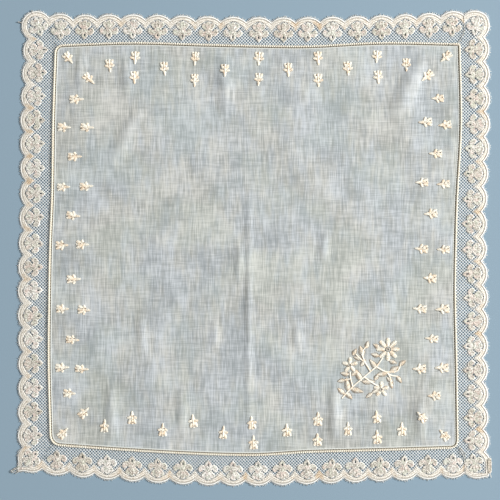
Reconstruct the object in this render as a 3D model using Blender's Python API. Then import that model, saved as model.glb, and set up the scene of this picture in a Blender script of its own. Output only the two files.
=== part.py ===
"""A lady's handkerchief: a square of fine lawn with a scalloped lace edging, laid flat.

The cloth is drawn in millimetres, with +X to the right, +Y away and +Z up, and every point is
turned to metres when its mesh is made. The origin is on the resting surface, under the middle.
"""
import math
from collections import namedtuple

import bmesh
import bpy
from mathutils.geometry import delaunay_2d_cdt

METRES_PER_MM = 0.001

# Thicknesses, and heights above a sheet's plain upper face
LAWN_THICK = 1.0
LACE_THICK = 1.0
HEM_ROLL_HEIGHT = 0.7
HEM_EDGE_HEIGHT = 0.2
BORDER_HEIGHT = 0.5
MOTIF_HEIGHT = 0.5
SPRIG_HEIGHT = 0.5
SPRAY_HEIGHT = 0.5

# Distances from the seam line, outwards from the middle of the handkerchief
LAWN_EDGE = 0.75
LACE_EDGE = 1.1
HEM_ROLL_CREST = 0.0
HEM_ROLL_FOOT = -0.9

# The scallops of the lace, and the joins between its lengths
SCALLOPS_PER_SIDE = 17
SCALLOP_RISE = 3.9
SCALLOP_STEPS = 6
CORNER_STEPS = 12
DRAWN_OUT_SHARE = 1 / 3
BORDER_WIDTH = 3.2
JOIN_HALF_GAP = 0.2
JOIN_BEND = 2.0

# The seam line's stations along a side, and round a corner to its middle and in all
SEAM_STEPS = 18
TURN_STEPS = 4
HALF_TURN_STEPS = TURN_STEPS // 2
SEAM_HALVINGS = 30

# A side's frame: the direction along it, in which its scallops are numbered, and the direction out
Side = namedtuple("Side", "along_way out_way heading")
SIDES = {
    "top": Side((1, 0), (0, 1), 90.0),
    "right": Side((0, 1), (1, 0), 0.0),
    "bottom": Side((1, 0), (0, -1), -90.0),
    "left": Side((0, 1), (-1, 0), 180.0),
}

# The uneven run of each side: a scallop's number, how far along it stands, and how far out its
# tip and the seam line reach
Run = namedtuple("Run", "scallop along tip seam")
RUNS = {
    "top": (
        Run(1, -145.0, 174.6, 152.0),
        Run(4, -91.0, 175.1, 153.8),
        Run(7, -35.0, 173.6, 152.3),
        Run(9, 3.4, 172.9, 151.5),
        Run(11, 40.0, 172.9, 151.2),
        Run(14, 95.0, 174.4, 153.8),
        Run(17, 148.0, 177.0, 153.0),
    ),
    "right": (
        Run(1, 149.3, 175.9, 153.8),
        Run(4, 93.0, 176.6, 154.9),
        Run(7, 36.8, 174.4, 151.9),
        Run(9, -0.8, 174.0, 150.8),
        Run(11, -36.8, 175.1, 150.4),
        Run(14, -91.5, 174.8, 151.5),
        Run(17, -144.8, 175.5, 152.2),
    ),
    "bottom": (
        Run(1, -148.0, 170.2, 147.8),
        Run(4, -92.0, 174.8, 151.7),
        Run(7, -35.0, 177.8, 154.6),
        Run(9, 2.6, 178.1, 155.2),
        Run(11, 39.4, 177.0, 153.0),
        Run(14, 94.0, 174.8, 151.5),
        Run(17, 148.9, 172.5, 149.8),
    ),
    "left": (
        Run(1, 148.5, 173.3, 149.4),
        Run(4, 96.0, 175.5, 151.1),
        Run(7, 41.3, 175.5, 151.9),
        Run(9, 3.8, 176.6, 153.4),
        Run(11, -32.3, 177.4, 154.1),
        Run(14, -87.0, 177.0, 154.5),
        Run(17, -141.0, 177.4, 153.2),
    ),
}

# The corners: where the lobe of lace meets its neighbours on the two sides, how far it rises, how
# far its point is drawn out, its motif's scallop tip and heading, and how far back from the
# corner the seam line starts to turn
Corner = namedtuple(
    "Corner", "row column row_valley column_valley rise drawn_out motif_tip heading seam_round"
)
CORNERS = (
    Corner("top", "left", (-154.1, 172.5), (-169.1, 156.8), 13.7, 0.0, (-165.6, 176.4), 106.0, 6.5),
    Corner("top", "right", (157.1, 174.6), (172.1, 158.3), 11.8, 0.4, (168.4, 177.4), 76.0, 1.8),
    Corner("bottom", "right", (157.5, -168.0), (172.5, -153.0), 12.8, 2.2, (166.9, -172.2), -80.0, 6.0),
    Corner("bottom", "left", (-159.4, -165.4), (-173.6, -149.3), 11.1, 3.9, (-174.8, -165.8), -134.0, 9.0),
)

# A raised form, across and forwards: the right half of its edge, and its raised points.
# The lace motif is measured inwards from its scallop's tip, a sprig from its middle to its head.
Form = namedtuple("Form", "half_edge raised")
MOTIF = Form(
    ((0.0, 3.9), (2.9, 4.8), (2.9, 8.2), (5.4, 8.9), (6.7, 11.3), (4.9, 13.8), (0.0, 17.6)),
    ((0.0, 6.6), (4.7, 11.2), (-4.7, 11.2), (0.0, 11.2), (0.0, 14.4)),
)
SPRIG = Form(
    ((0.0, 5.0), (2.0, 4.3), (3.5, 2.2), (3.2, -0.9), (1.5, -2.1), (0.0, -5.2)),
    ((0.0, 2.7), (1.9, 1.2), (-1.9, 1.2), (0.0, -1.6)),
)

# The sprigs along each side, by how far along it and how far out each stands: a pair and a single
# sprig take turns, and two outer ones of the bottom row are missing
SPRIG_PLACES = {
    "top": (
        (-89.6, 142.8), (-90.1, 128.0), (-67.7, 134.6), (-44.6, 142.2), (-45.0, 125.9), (-22.3, 133.3),
        (3.2, 142.2), (3.1, 126.6), (25.2, 133.8), (47.5, 142.4), (47.7, 125.9), (69.9, 134.8),
        (91.7, 143.6), (92.6, 128.3),
    ),
    "right": (
        (92.4, 142.9), (94.5, 128.3), (70.8, 136.0), (47.9, 141.8), (49.2, 125.7), (25.8, 132.4),
        (-1.1, 141.8), (-0.7, 125.3), (-22.7, 131.7), (-45.8, 141.1), (-45.6, 124.1), (-68.0, 133.0),
        (-89.9, 140.6), (-90.6, 123.8),
    ),
    "bottom": (
        (-91.9, 127.4), (-68.9, 136.6), (-46.0, 129.9), (-23.5, 138.4), (-0.8, 146.0), (-2.0, 131.2),
        (24.2, 136.8), (47.1, 143.9), (47.4, 128.4), (70.0, 135.8), (91.9, 141.9), (91.6, 126.8),
    ),
    "left": (
        (90.6, 142.9), (90.5, 125.7), (68.5, 135.0), (45.7, 143.4), (46.2, 126.3), (24.3, 136.2),
        (2.0, 144.7), (2.6, 129.3), (-23.4, 135.8), (-45.7, 144.3), (-46.4, 128.1), (-68.8, 136.7),
        (-89.7, 144.4), (-90.7, 129.7),
    ),
}

# The sprigs near the corners, where a row turns into the next side's
Sprig = namedtuple("Sprig", "x y heading")
CORNER_SPRIGS = (
    Sprig(-139.7, 142.4, 135.0),
    Sprig(-124.2, 126.8, 135.0),
    Sprig(-108.7, 136.9, 90.0),
    Sprig(-133.7, 111.5, 180.0),
    Sprig(143.5, 143.3, 45.0),
    Sprig(129.5, 128.9, 45.0),
    Sprig(113.8, 137.5, 90.0),
    Sprig(137.6, 112.2, 0.0),
    Sprig(142.1, -140.3, -45.0),
    Sprig(125.2, -126.6, -45.0),
    Sprig(110.4, -136.0, -90.0),
    Sprig(134.9, -110.8, 0.0),
    Sprig(-143.6, -138.8, -135.0),
    Sprig(-128.0, -123.4, -135.0),
    Sprig(-112.6, -133.5, -90.0),
    Sprig(-139.0, -109.0, 180.0),
)

# The flower spray at the lower right: its middle, and its leaves and flowers measured from there
SPRAY_MIDDLE = (88.0, -89.0)
Leaf = namedtuple("Leaf", "x y heading length width")
SPRAY_LEAVES = (
    Leaf(-18.3, -13.6, 100.0, 10.2, 4.0),
    Leaf(-11.2, -17.7, -15.0, 9.6, 4.0),
    Leaf(-10.0, -6.5, 118.0, 9.6, 4.0),
    Leaf(-2.4, -11.2, 0.0, 9.6, 4.0),
    Leaf(1.2, 1.8, 128.0, 9.0, 3.7),
    Leaf(8.8, -5.3, 8.0, 9.6, 3.7),
    Leaf(17.1, -1.8, 30.0, 7.8, 4.2),
    Leaf(-7.7, 11.8, 110.0, 7.8, 4.2),
)
Flower = namedtuple("Flower", "x y petals reach length width")
SPRAY_FLOWERS = (
    Flower(12.0, 13.0, 8, 5.4, 6.4, 3.7),
    Flower(-16.5, 1.2, 5, 3.5, 4.6, 3.2),
    Flower(7.0, -17.0, 5, 3.5, 4.6, 3.2),
)

# The soft creases of the lawn, by the two ends of the crest
Fold = namedtuple("Fold", "x0 y0 x1 y1 half_width height")
FOLDS = (
    Fold(127.9, 145.0, 103.1, 94.0, 11.0, 2.2),
    Fold(-4.1, 51.0, -4.1, -147.0, 4.0, 1.1),
    Fold(-11.6, 8.0, -11.6, -30.0, 5.0, 1.0),
    Fold(52.1, 12.0, 52.1, -12.0, 5.5, 1.1),
    Fold(-84.4, -50.0, -84.4, -80.0, 5.5, 1.0),
    Fold(-29.6, -54.0, -29.6, -76.0, 4.5, 0.9),
    Fold(31.9, -54.0, 31.9, -77.0, 4.5, 0.9),
    Fold(-84.0, 104.0, -110.0, 60.0, 9.5, 1.5),
    Fold(-130.9, 146.0, -130.9, 118.0, 5.5, 1.0),
    Fold(-97.0, 147.0, -95.0, 112.0, 6.0, 1.0),
    Fold(-106.9, -100.0, -106.9, -145.0, 6.5, 1.3),
    Fold(-54.4, -102.0, -54.4, -147.0, 5.5, 1.0),
    Fold(60.4, -100.0, 60.4, -149.0, 7.5, 1.5),
    Fold(123.0, -112.0, 126.0, -145.0, 6.0, 1.2),
    Fold(-22.1, 147.0, -22.1, 94.0, 8.0, 1.1),
)
FOLD_STATION_SPACING = 14.0
FEWEST_FOLD_STATIONS = 4
WIDE_FOLD = 6.0
FOLD_END_SOFTNESS = 0.7
SPRIG_CLEARANCE = 6.5
SPRAY_CLEARANCE = 28.0


def place(side, along, out):
    """The point of the plane at a distance along a side and out from the middle."""
    along_way, out_way, _ = SIDES[side]
    return (
        along * along_way[0] + out * out_way[0],
        along * along_way[1] + out * out_way[1],
    )


def run_at(side, scallop):
    """The run at a scallop's number, whole or not, on a smooth curve through the side's rows."""
    rows = RUNS[side]
    last = len(rows) - 1
    index = 0
    while index < last - 1 and scallop > rows[index + 1].scallop:
        index += 1
    before = rows[max(index - 1, 0)]
    start = rows[index]
    end = rows[index + 1]
    after = rows[min(index + 2, last)]
    span = end.scallop - start.scallop
    t = (scallop - start.scallop) / span
    values = []
    for a, b, c, d in zip(before[1:], start[1:], end[1:], after[1:]):
        slope_in = (c - a) / (end.scallop - before.scallop) * span
        slope_out = (d - b) / (after.scallop - start.scallop) * span
        values.append(
            (2 * t**3 - 3 * t**2 + 1) * b
            + (t**3 - 2 * t**2 + t) * slope_in
            + (3 * t**2 - 2 * t**3) * c
            + (t**3 - t**2) * slope_out
        )
    return Run(scallop, *values)


def seam_reach(side, along):
    """How far out a side's seam line lies at a distance along it."""
    low, high = 1.0, float(SCALLOPS_PER_SIDE)
    rising = run_at(side, high).along > run_at(side, low).along
    for _ in range(SEAM_HALVINGS):
        middle = (low + high) / 2
        if (run_at(side, middle).along < along) == rising:
            low = middle
        else:
            high = middle
    return run_at(side, low).seam


def corner_of(side_a, side_b):
    """The corner that joins two sides, in either order."""
    for corner in CORNERS:
        if {corner.row, corner.column} == {side_a, side_b}:
            return corner
    raise ValueError(f"no corner between {side_a} and {side_b}")


def arch(start, end, rise, steps, drawn_out=0.0):
    """Points between start and end of a round arch that stands on the side away from the middle."""
    chord = math.hypot(end[0] - start[0], end[1] - start[1])
    way = ((end[0] - start[0]) / chord, (end[1] - start[1]) / chord)
    out = (-way[1], way[0])
    if out[0] * (start[0] + end[0]) + out[1] * (start[1] + end[1]) < 0:
        out = (way[1], -way[0])
    radius = (chord**2 / 4 + rise**2) / (2 * rise)
    half_angle = math.atan2(chord / 2, radius - rise)
    points = []
    for step in range(1, steps):
        share = 2 * step / steps - 1
        angle = share * half_angle
        along = chord / 2 + radius * math.sin(angle)
        point = max(0.0, 1 - abs(share) / DRAWN_OUT_SHARE) ** 2
        height = radius * (math.cos(angle) - 1) + rise + drawn_out * point
        points.append((
            start[0] + way[0] * along + out[0] * height,
            start[1] + way[1] * along + out[1] * height,
        ))
    return points


# The sides in clockwise order, with the end of each at which the clockwise way starts
CLOCKWISE = (("top", "left"), ("right", "top"), ("bottom", "right"), ("left", "bottom"))


def seam_line():
    """The closed seam line, clockwise from the top left, and the first and last index of each side."""
    points = []
    ends_of = {}
    for number, (side, before) in enumerate(CLOCKWISE):
        after = CLOCKWISE[(number + 1) % len(CLOCKWISE)][0]
        start = meeting(side, before)
        finish = meeting(side, after)
        way = math.copysign(1.0, finish - start)
        start += way * corner_of(side, before).seam_round
        finish -= way * corner_of(side, after).seam_round
        ends_of[side] = (len(points), len(points) + SEAM_STEPS)
        for step in range(SEAM_STEPS + 1):
            along = start + (finish - start) * step / SEAM_STEPS
            points.append(place(side, along, seam_reach(side, along)))
        corner_along = meeting(side, after)
        corner = place(side, corner_along, seam_reach(side, corner_along))
        back = meeting(after, side)
        back -= math.copysign(corner_of(side, after).seam_round, back)
        points.extend(turn(points[-1], corner, place(after, back, seam_reach(after, back))))
    return points, ends_of


def meeting(side, neighbour):
    """How far along a side its seam line meets its neighbour's, which is numbered from top or left."""
    neighbour_scallop = 1 if side in ("top", "left") else SCALLOPS_PER_SIDE
    return run_at(neighbour, neighbour_scallop).seam * sum(SIDES[neighbour].out_way)


def turn(start, corner, end):
    """Points between start and end of a soft turn round a corner."""
    points = []
    for step in range(1, TURN_STEPS):
        t = step / TURN_STEPS
        points.append(tuple(
            (1 - t) ** 2 * start[axis] + 2 * t * (1 - t) * corner[axis] + t**2 * end[axis]
            for axis in (0, 1)
        ))
    return points


def moved_out(ring, distance):
    """A closed clockwise ring with each point moved outwards along the ring's own normal."""
    moved = []
    for index, point in enumerate(ring):
        before = ring[index - 1]
        after = ring[(index + 1) % len(ring)]
        moved.append(left_of(before, point, after, distance))
    return moved


def left_of(before, point, after, distance):
    """A point moved to the left of the way from its neighbour before it to that after it."""
    way_x = after[0] - before[0]
    way_y = after[1] - before[1]
    length = math.hypot(way_x, way_y)
    return (point[0] - way_y / length * distance, point[1] + way_x / length * distance)


def turned(points, middle, heading):
    """Points given as across and forwards, turned so that forwards is the heading, and moved."""
    forward = (math.cos(math.radians(heading)), math.sin(math.radians(heading)))
    across = (forward[1], -forward[0])
    return [
        (
            middle[0] + x * across[0] + y * forward[0],
            middle[1] + x * across[1] + y * forward[1],
        )
        for x, y in points
    ]


def fold_lift(x, y):
    """How far the lawn stands off the surface at a point, from all of its creases."""
    lift = 0.0
    for fold in FOLDS:
        way = (fold.x1 - fold.x0, fold.y1 - fold.y0)
        length = math.hypot(*way)
        along = ((x - fold.x0) * way[0] + (y - fold.y0) * way[1]) / length**2
        aside = abs((x - fold.x0) * way[1] - (y - fold.y0) * way[0]) / length / fold.half_width
        if 0 < along < 1 and aside < 1:
            crest = fold.height * math.sin(math.pi * along) ** FOLD_END_SOFTNESS
            lift += crest * math.cos(math.pi / 2 * aside) ** 2
    return lift


def fold_grid(keep_clear):
    """Points along and across the creases, and lines along them, outside the keep_clear circles."""
    points = []
    lines = []
    for fold in FOLDS:
        way = (fold.x1 - fold.x0, fold.y1 - fold.y0)
        length = math.hypot(*way)
        stations = max(FEWEST_FOLD_STATIONS, round(length / FOLD_STATION_SPACING) + 1)
        shares = (-1, -0.5, 0, 0.5, 1) if fold.half_width > WIDE_FOLD else (-1, 0, 1)
        for share in shares:
            aside = share * fold.half_width / length
            last = None
            for station in range(stations):
                along = station / (stations - 1)
                x = fold.x0 + way[0] * along - way[1] * aside
                y = fold.y0 + way[1] * along + way[0] * aside
                if inside_any(x, y, keep_clear):
                    last = None
                    continue
                points.append((x, y, 0.0))
                index = len(points) - 1
                if last is not None:
                    middle_x = (points[last][0] + x) / 2
                    middle_y = (points[last][1] + y) / 2
                    if not inside_any(middle_x, middle_y, keep_clear):
                        lines.append((last, index))
                last = index
    return points, lines


def inside_any(x, y, circles):
    """Whether a point lies inside one of the circles."""
    return any(math.hypot(x - cx, y - cy) < radius for cx, cy, radius in circles)


def sprigs():
    """Every sprig, with its head towards the nearest edge."""
    found = list(CORNER_SPRIGS)
    for side, spots in SPRIG_PLACES.items():
        for along, out in spots:
            found.append(Sprig(*place(side, along, out), SIDES[side].heading))
    return found


def lens(length, width):
    """The form of a leaf or a petal, across and forwards from its middle."""
    half = ((0.0, length / 2), (width / 2, length / 8), (width / 2, -length / 5), (0.0, -length / 2))
    return Form(half, ((0.0, length / 6), (0.0, -length / 5)))


def spray_leaves():
    """The leaves of the spray and the petals of its flowers, each by its own middle."""
    leaves = []
    for leaf in SPRAY_LEAVES:
        leaves.append(leaf._replace(x=SPRAY_MIDDLE[0] + leaf.x, y=SPRAY_MIDDLE[1] + leaf.y))
    for flower in SPRAY_FLOWERS:
        middle = (SPRAY_MIDDLE[0] + flower.x, SPRAY_MIDDLE[1] + flower.y)
        for number in range(flower.petals):
            heading = 90.0 + 360.0 * number / flower.petals
            x, y = turned([(0.0, flower.reach)], middle, heading)[0]
            leaves.append(Leaf(x, y, heading, flower.length, flower.width))
    return leaves


def ring_lines(first, count):
    """The lines of a closed ring of points that starts at an index."""
    return [(first + index, first + (index + 1) % count) for index in range(count)]


class Face:
    """The marks and lines that one face of a sheet has inside its outline."""

    def __init__(self):
        self.marks = []
        self.lines = []

    def add(self, points, lines):
        """Adds points of x, y and height, and lines between them."""
        first = len(self.marks)
        self.marks.extend(points)
        self.lines.extend((start + first, end + first) for start, end in lines)

    def add_form(self, form, middle, heading, height):
        """Adds a raised form: its edge at no height and its raised points above it."""
        edge = list(form.half_edge) + [(-x, y) for x, y in reversed(form.half_edge[1:-1])]
        self.add([(x, y, 0.0) for x, y in turned(edge, middle, heading)], ring_lines(0, len(edge)))
        self.add([(x, y, height) for x, y in turned(form.raised, middle, heading)], [])

    def triangles(self, outline):
        """Points, heights and triangles of the face, and the index of each outline point."""
        points = list(outline) + self.marks
        lines = ring_lines(0, len(outline))
        lines += [(start + len(outline), end + len(outline)) for start, end in self.lines]
        flat_points = [(x, y) for x, y, _ in points]
        inside_only, merge_within = 1, 1e-4
        corners, _, triangles, sources, _, _ = delaunay_2d_cdt(
            flat_points, lines, [], inside_only, merge_within
        )
        heights = [points[source[0]][2] if source else 0.0 for source in sources]
        rim = {}
        for index, source in enumerate(sources):
            rim.update((number, index) for number in source if number < len(outline))
        return corners, heights, triangles, [rim[number] for number in range(len(outline))]


def sheet_object(name, material, outline, thickness, upper, under, lift):
    """One closed sheet between an upper face with relief and an under face of the same outline."""
    shape = bmesh.new()
    rims = []
    for face, base, relief in ((upper, thickness, 1.0), (under, 0.0, 0.0)):
        corners, heights, triangles, rim = face.triangles(outline)
        verts = []
        for (x, y), height in zip(corners, heights):
            z = base + lift(x, y) + height * relief
            verts.append(shape.verts.new([value * METRES_PER_MM for value in (x, y, z)]))
        for triangle in triangles:
            shape.faces.new([verts[index] for index in triangle])
        rims.append([verts[index] for index in rim])
    upper_rim, under_rim = rims
    for index in range(len(outline)):
        before = index - 1
        shape.faces.new((upper_rim[before], upper_rim[index], under_rim[index], under_rim[before]))
    bmesh.ops.triangulate(shape, faces=shape.faces[:])
    bmesh.ops.recalc_face_normals(shape, faces=shape.faces[:])
    mesh = bpy.data.meshes.new(name)
    shape.to_mesh(mesh)
    shape.free()
    mesh.materials.append(material)
    bpy.context.collection.objects.link(bpy.data.objects.new(name, mesh))


def build_lawn(material, seam):
    """The lawn square, with its rolled hem, its creases, its sprigs and the flower spray."""
    outline = [(x, y, HEM_EDGE_HEIGHT) for x, y in moved_out(seam, LAWN_EDGE)]
    upper = Face()
    for distance, height in ((HEM_ROLL_CREST, HEM_ROLL_HEIGHT), (HEM_ROLL_FOOT, 0.0)):
        ring = [(x, y, height) for x, y in moved_out(seam, distance)]
        upper.add(ring, ring_lines(0, len(ring)))
    keep_clear = [(sprig.x, sprig.y, SPRIG_CLEARANCE) for sprig in sprigs()]
    keep_clear.append((*SPRAY_MIDDLE, SPRAY_CLEARANCE))
    upper.add(*fold_grid(keep_clear))
    for sprig in sprigs():
        upper.add_form(SPRIG, (sprig.x, sprig.y), sprig.heading, SPRIG_HEIGHT)
    for leaf in spray_leaves():
        upper.add_form(lens(leaf.length, leaf.width), (leaf.x, leaf.y), leaf.heading, SPRAY_HEIGHT)
    under = Face()
    under.add(*fold_grid([]))
    sheet_object("lawn_ground", material, outline, LAWN_THICK, upper, under, fold_lift)


def scalloped_edge(side):
    """A side's scallops in clockwise order, from its first own valley to its last."""
    valleys = []
    for number in range(1, SCALLOPS_PER_SIDE):
        run = run_at(side, number + 0.5)
        valleys.append(place(side, run.along, run.tip - SCALLOP_RISE))
    if side in ("bottom", "left"):
        valleys.reverse()
    edge = [valleys[0]]
    for start, end in zip(valleys, valleys[1:]):
        edge += arch(start, end, SCALLOP_RISE, SCALLOP_STEPS) + [end]
    return edge


def lace_edge(side, before, after):
    """The whole outer edge of a lace length, with the corner lobes on the left and right ones."""
    has_lobes = side in ("left", "right")
    near = "column_valley" if has_lobes else "row_valley"
    first = getattr(before, near)
    last = getattr(after, near)
    own = scalloped_edge(side)
    edge = [first] + arch(first, own[0], SCALLOP_RISE, SCALLOP_STEPS)
    edge += own + arch(own[-1], last, SCALLOP_RISE, SCALLOP_STEPS) + [last]
    if has_lobes:
        start = before.row_valley
        end = after.row_valley
        lobe = arch(start, first, before.rise, CORNER_STEPS, before.drawn_out)
        edge = [start] + lobe + edge
        edge += arch(last, end, after.rise, CORNER_STEPS, after.drawn_out) + [end]
    return edge


def build_lace(side, before, after, material, seam, ends_of):
    """One length of the lace, with its scalloped border and its row of motifs."""
    corners = (corner_of(side, before), corner_of(side, after))
    outer = lace_edge(side, *corners)
    inner_ring = moved_out(seam, LACE_EDGE)
    first = ends_of[side][0] - HALF_TURN_STEPS
    inner = [inner_ring[(first + step) % len(seam)] for step in range(SEAM_STEPS + TURN_STEPS + 1)]
    has_lobes = side in ("left", "right")
    shift = JOIN_HALF_GAP if has_lobes else -JOIN_HALF_GAP
    joins = []
    for end in (0, -1):
        out_x = math.copysign(1.0, outer[end][0])
        middle_x = (outer[end][0] + inner[end][0]) / 2 + out_x * (JOIN_BEND + shift)
        middle_y = (outer[end][1] + inner[end][1]) / 2
        joins.append((middle_x, middle_y, 0.0))
        x, y = outer[end]
        outer[end] = (x + out_x * shift, y)
        # where the end draws back, it follows the lawn's rounded corner, so that it stays clear of it
        x, y = inner[end]
        inner[end] = (x + out_x * shift, y - math.copysign(1.0, y) * min(shift, 0.0))
    outline = [(x, y, BORDER_HEIGHT) for x, y in outer]
    outline += [joins[1]] + [(x, y, 0.0) for x, y in reversed(inner)] + [joins[0]]
    border = [left_of(*three, -BORDER_WIDTH) for three in zip(outer, outer[1:], outer[2:])]
    upper = Face()
    upper.add([(x, y, 0.0) for x, y in border], [(i, i + 1) for i in range(len(border) - 1)])
    for number in range(1, SCALLOPS_PER_SIDE + 1):
        run = run_at(side, number)
        tip = place(side, run.along, run.tip)
        upper.add_form(MOTIF, tip, SIDES[side].heading + 180.0, MOTIF_HEIGHT)
    if has_lobes:
        for corner in corners:
            upper.add_form(MOTIF, corner.motif_tip, corner.heading + 180.0, MOTIF_HEIGHT)
    sheet_object(f"lace_{side}", material, outline, LACE_THICK, upper, Face(), lies_flat)


def lies_flat(_x, _y):
    """The lift of a sheet that lies flat."""
    return 0.0


def cloth_material(name, colour, roughness):
    """A matt cloth finish."""
    material = bpy.data.materials.new(name)
    material.use_nodes = True
    shader = material.node_tree.nodes["Principled BSDF"]
    shader.inputs["Base Color"].default_value = (*colour, 1.0)
    shader.inputs["Roughness"].default_value = roughness
    shader.inputs["Metallic"].default_value = 0.0
    return material


def main():
    for old in list(bpy.data.objects):
        bpy.data.objects.remove(old, do_unlink=True)
    lawn = cloth_material("fine_lawn", (0.58, 0.63, 0.61), 0.85)
    lace = cloth_material("ivory_lace", (0.78, 0.73, 0.60), 0.9)
    seam, ends_of = seam_line()
    build_lawn(lawn, seam)
    for number, (side, before) in enumerate(CLOCKWISE):
        after = CLOCKWISE[(number + 1) % len(CLOCKWISE)][0]
        build_lace(side, before, after, lace, seam, ends_of)


main()
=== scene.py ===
"""The looks of a lady's handkerchief: sheer lawn, whipped hem, scalloped net lace and stitched sprigs.

Every length is in millimetres until a finished piece is turned to metres. +X is to the right,
+Y away and +Z up, and a side's scallops and seam follow the same uneven rows as its solids.
"""
import math
import random
from collections import namedtuple
from functools import cached_property

import bmesh
import bpy
from mathutils import Matrix, Vector, noise
from mathutils.bvhtree import BVHTree


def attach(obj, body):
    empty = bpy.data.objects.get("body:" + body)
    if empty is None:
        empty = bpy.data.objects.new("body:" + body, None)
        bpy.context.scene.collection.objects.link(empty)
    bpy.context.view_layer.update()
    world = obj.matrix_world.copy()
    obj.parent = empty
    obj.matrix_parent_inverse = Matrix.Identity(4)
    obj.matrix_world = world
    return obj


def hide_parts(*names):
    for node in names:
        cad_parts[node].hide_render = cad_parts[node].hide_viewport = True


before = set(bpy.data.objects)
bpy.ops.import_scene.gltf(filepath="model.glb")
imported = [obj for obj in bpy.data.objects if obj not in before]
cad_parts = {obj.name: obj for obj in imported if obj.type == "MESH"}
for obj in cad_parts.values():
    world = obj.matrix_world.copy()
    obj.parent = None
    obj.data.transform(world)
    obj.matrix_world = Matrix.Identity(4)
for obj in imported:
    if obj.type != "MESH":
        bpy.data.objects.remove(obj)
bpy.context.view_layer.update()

METRES_PER_MM = 0.001
chance = random.Random(7)

# ---- The handkerchief's plan, as its solids have it

SCALLOPS_PER_SIDE = 17
SCALLOP_RISE = 3.9
CORNER_SHARE = 1 / 3
SEAM_HALVINGS = 30

# A side's frame: the direction along it, in which its scallops are numbered, and the direction out
Side = namedtuple("Side", "along_way out_way heading")
SIDES = {
    "top": Side((1, 0), (0, 1), 90.0),
    "right": Side((0, 1), (1, 0), 0.0),
    "bottom": Side((1, 0), (0, -1), -90.0),
    "left": Side((0, 1), (-1, 0), 180.0),
}
# Each side with the sides that it meets before and after it, clockwise
CLOCKWISE = (
    ("top", "left", "right"),
    ("right", "top", "bottom"),
    ("bottom", "right", "left"),
    ("left", "bottom", "top"),
)

# The uneven run of each side: a scallop's number, how far along it stands, and how far out its
# tip and the seam line reach
Run = namedtuple("Run", "scallop along tip seam")
RUN_SCALLOPS = (1, 4, 7, 9, 11, 14, 17)
RUNS = {side: [Run(*row) for row in zip(RUN_SCALLOPS, *zip(*rows))] for side, rows in (
    ("top", (
        (-145.0, 174.6, 152.0), (-91.0, 175.1, 153.8), (-35.0, 173.6, 152.3), (3.4, 172.9, 151.5),
        (40.0, 172.9, 151.2), (95.0, 174.4, 153.8), (148.0, 177.0, 153.0),
    )),
    ("right", (
        (149.3, 175.9, 153.8), (93.0, 176.6, 154.9), (36.8, 174.4, 151.9), (-0.8, 174.0, 150.8),
        (-36.8, 175.1, 150.4), (-91.5, 174.8, 151.5), (-144.8, 175.5, 152.2),
    )),
    ("bottom", (
        (-148.0, 170.2, 147.8), (-92.0, 174.8, 151.7), (-35.0, 177.8, 154.6), (2.6, 178.1, 155.2),
        (39.4, 177.0, 153.0), (94.0, 174.8, 151.5), (148.9, 172.5, 149.8),
    )),
    ("left", (
        (148.5, 173.3, 149.4), (96.0, 175.5, 151.1), (41.3, 175.5, 151.9), (3.8, 176.6, 153.4),
        (-32.3, 177.4, 154.1), (-87.0, 177.0, 154.5), (-141.0, 177.4, 153.2),
    )),
)}

Corner = namedtuple(
    "Corner", "row column row_valley column_valley rise drawn_out motif_tip heading seam_round"
)
CORNERS = (
    Corner("top", "left", (-154.1, 172.5), (-169.1, 156.8), 13.7, 0.0, (-165.6, 176.4), 106.0, 6.5),
    Corner("top", "right", (157.1, 174.6), (172.1, 158.3), 11.8, 0.4, (168.4, 177.4), 76.0, 1.8),
    Corner("bottom", "right", (157.5, -168.0), (172.5, -153.0), 12.8, 2.2, (166.9, -172.2), -80.0, 6.0),
    Corner("bottom", "left", (-159.4, -165.4), (-173.6, -149.3), 11.1, 3.9, (-174.8, -165.8), -134.0, 9.0),
)

Sprig = namedtuple("Sprig", "x y heading")
# The sprigs along each side, by how far along it and how far out each stands
SPRIG_PLACES = {
    "top": (
        (-89.6, 142.8), (-90.1, 128.0), (-67.7, 134.6), (-44.6, 142.2), (-45.0, 125.9), (-22.3, 133.3),
        (3.2, 142.2), (3.1, 126.6), (25.2, 133.8), (47.5, 142.4), (47.7, 125.9), (69.9, 134.8),
        (91.7, 143.6), (92.6, 128.3),
    ),
    "right": (
        (92.4, 142.9), (94.5, 128.3), (70.8, 136.0), (47.9, 141.8), (49.2, 125.7), (25.8, 132.4),
        (-1.1, 141.8), (-0.7, 125.3), (-22.7, 131.7), (-45.8, 141.1), (-45.6, 124.1), (-68.0, 133.0),
        (-89.9, 140.6), (-90.6, 123.8),
    ),
    "bottom": (
        (-91.9, 127.4), (-68.9, 136.6), (-46.0, 129.9), (-23.5, 138.4), (-0.8, 146.0), (-2.0, 131.2),
        (24.2, 136.8), (47.1, 143.9), (47.4, 128.4), (70.0, 135.8), (91.9, 141.9), (91.6, 126.8),
    ),
    "left": (
        (90.6, 142.9), (90.5, 125.7), (68.5, 135.0), (45.7, 143.4), (46.2, 126.3), (24.3, 136.2),
        (2.0, 144.7), (2.6, 129.3), (-23.4, 135.8), (-45.7, 144.3), (-46.4, 128.1), (-68.8, 136.7),
        (-89.7, 144.4), (-90.7, 129.7),
    ),
}
CORNER_SPRIGS = [Sprig(*row) for row in (
    (-139.7, 142.4, 135.0), (-124.2, 126.8, 135.0), (-108.7, 136.9, 90.0), (-133.7, 111.5, 180.0),
    (143.5, 143.3, 45.0), (129.5, 128.9, 45.0), (113.8, 137.5, 90.0), (137.6, 112.2, 0.0),
    (142.1, -140.3, -45.0), (125.2, -126.6, -45.0), (110.4, -136.0, -90.0), (134.9, -110.8, 0.0),
    (-143.6, -138.8, -135.0), (-128.0, -123.4, -135.0), (-112.6, -133.5, -90.0),
    (-139.0, -109.0, 180.0),
)]

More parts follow.
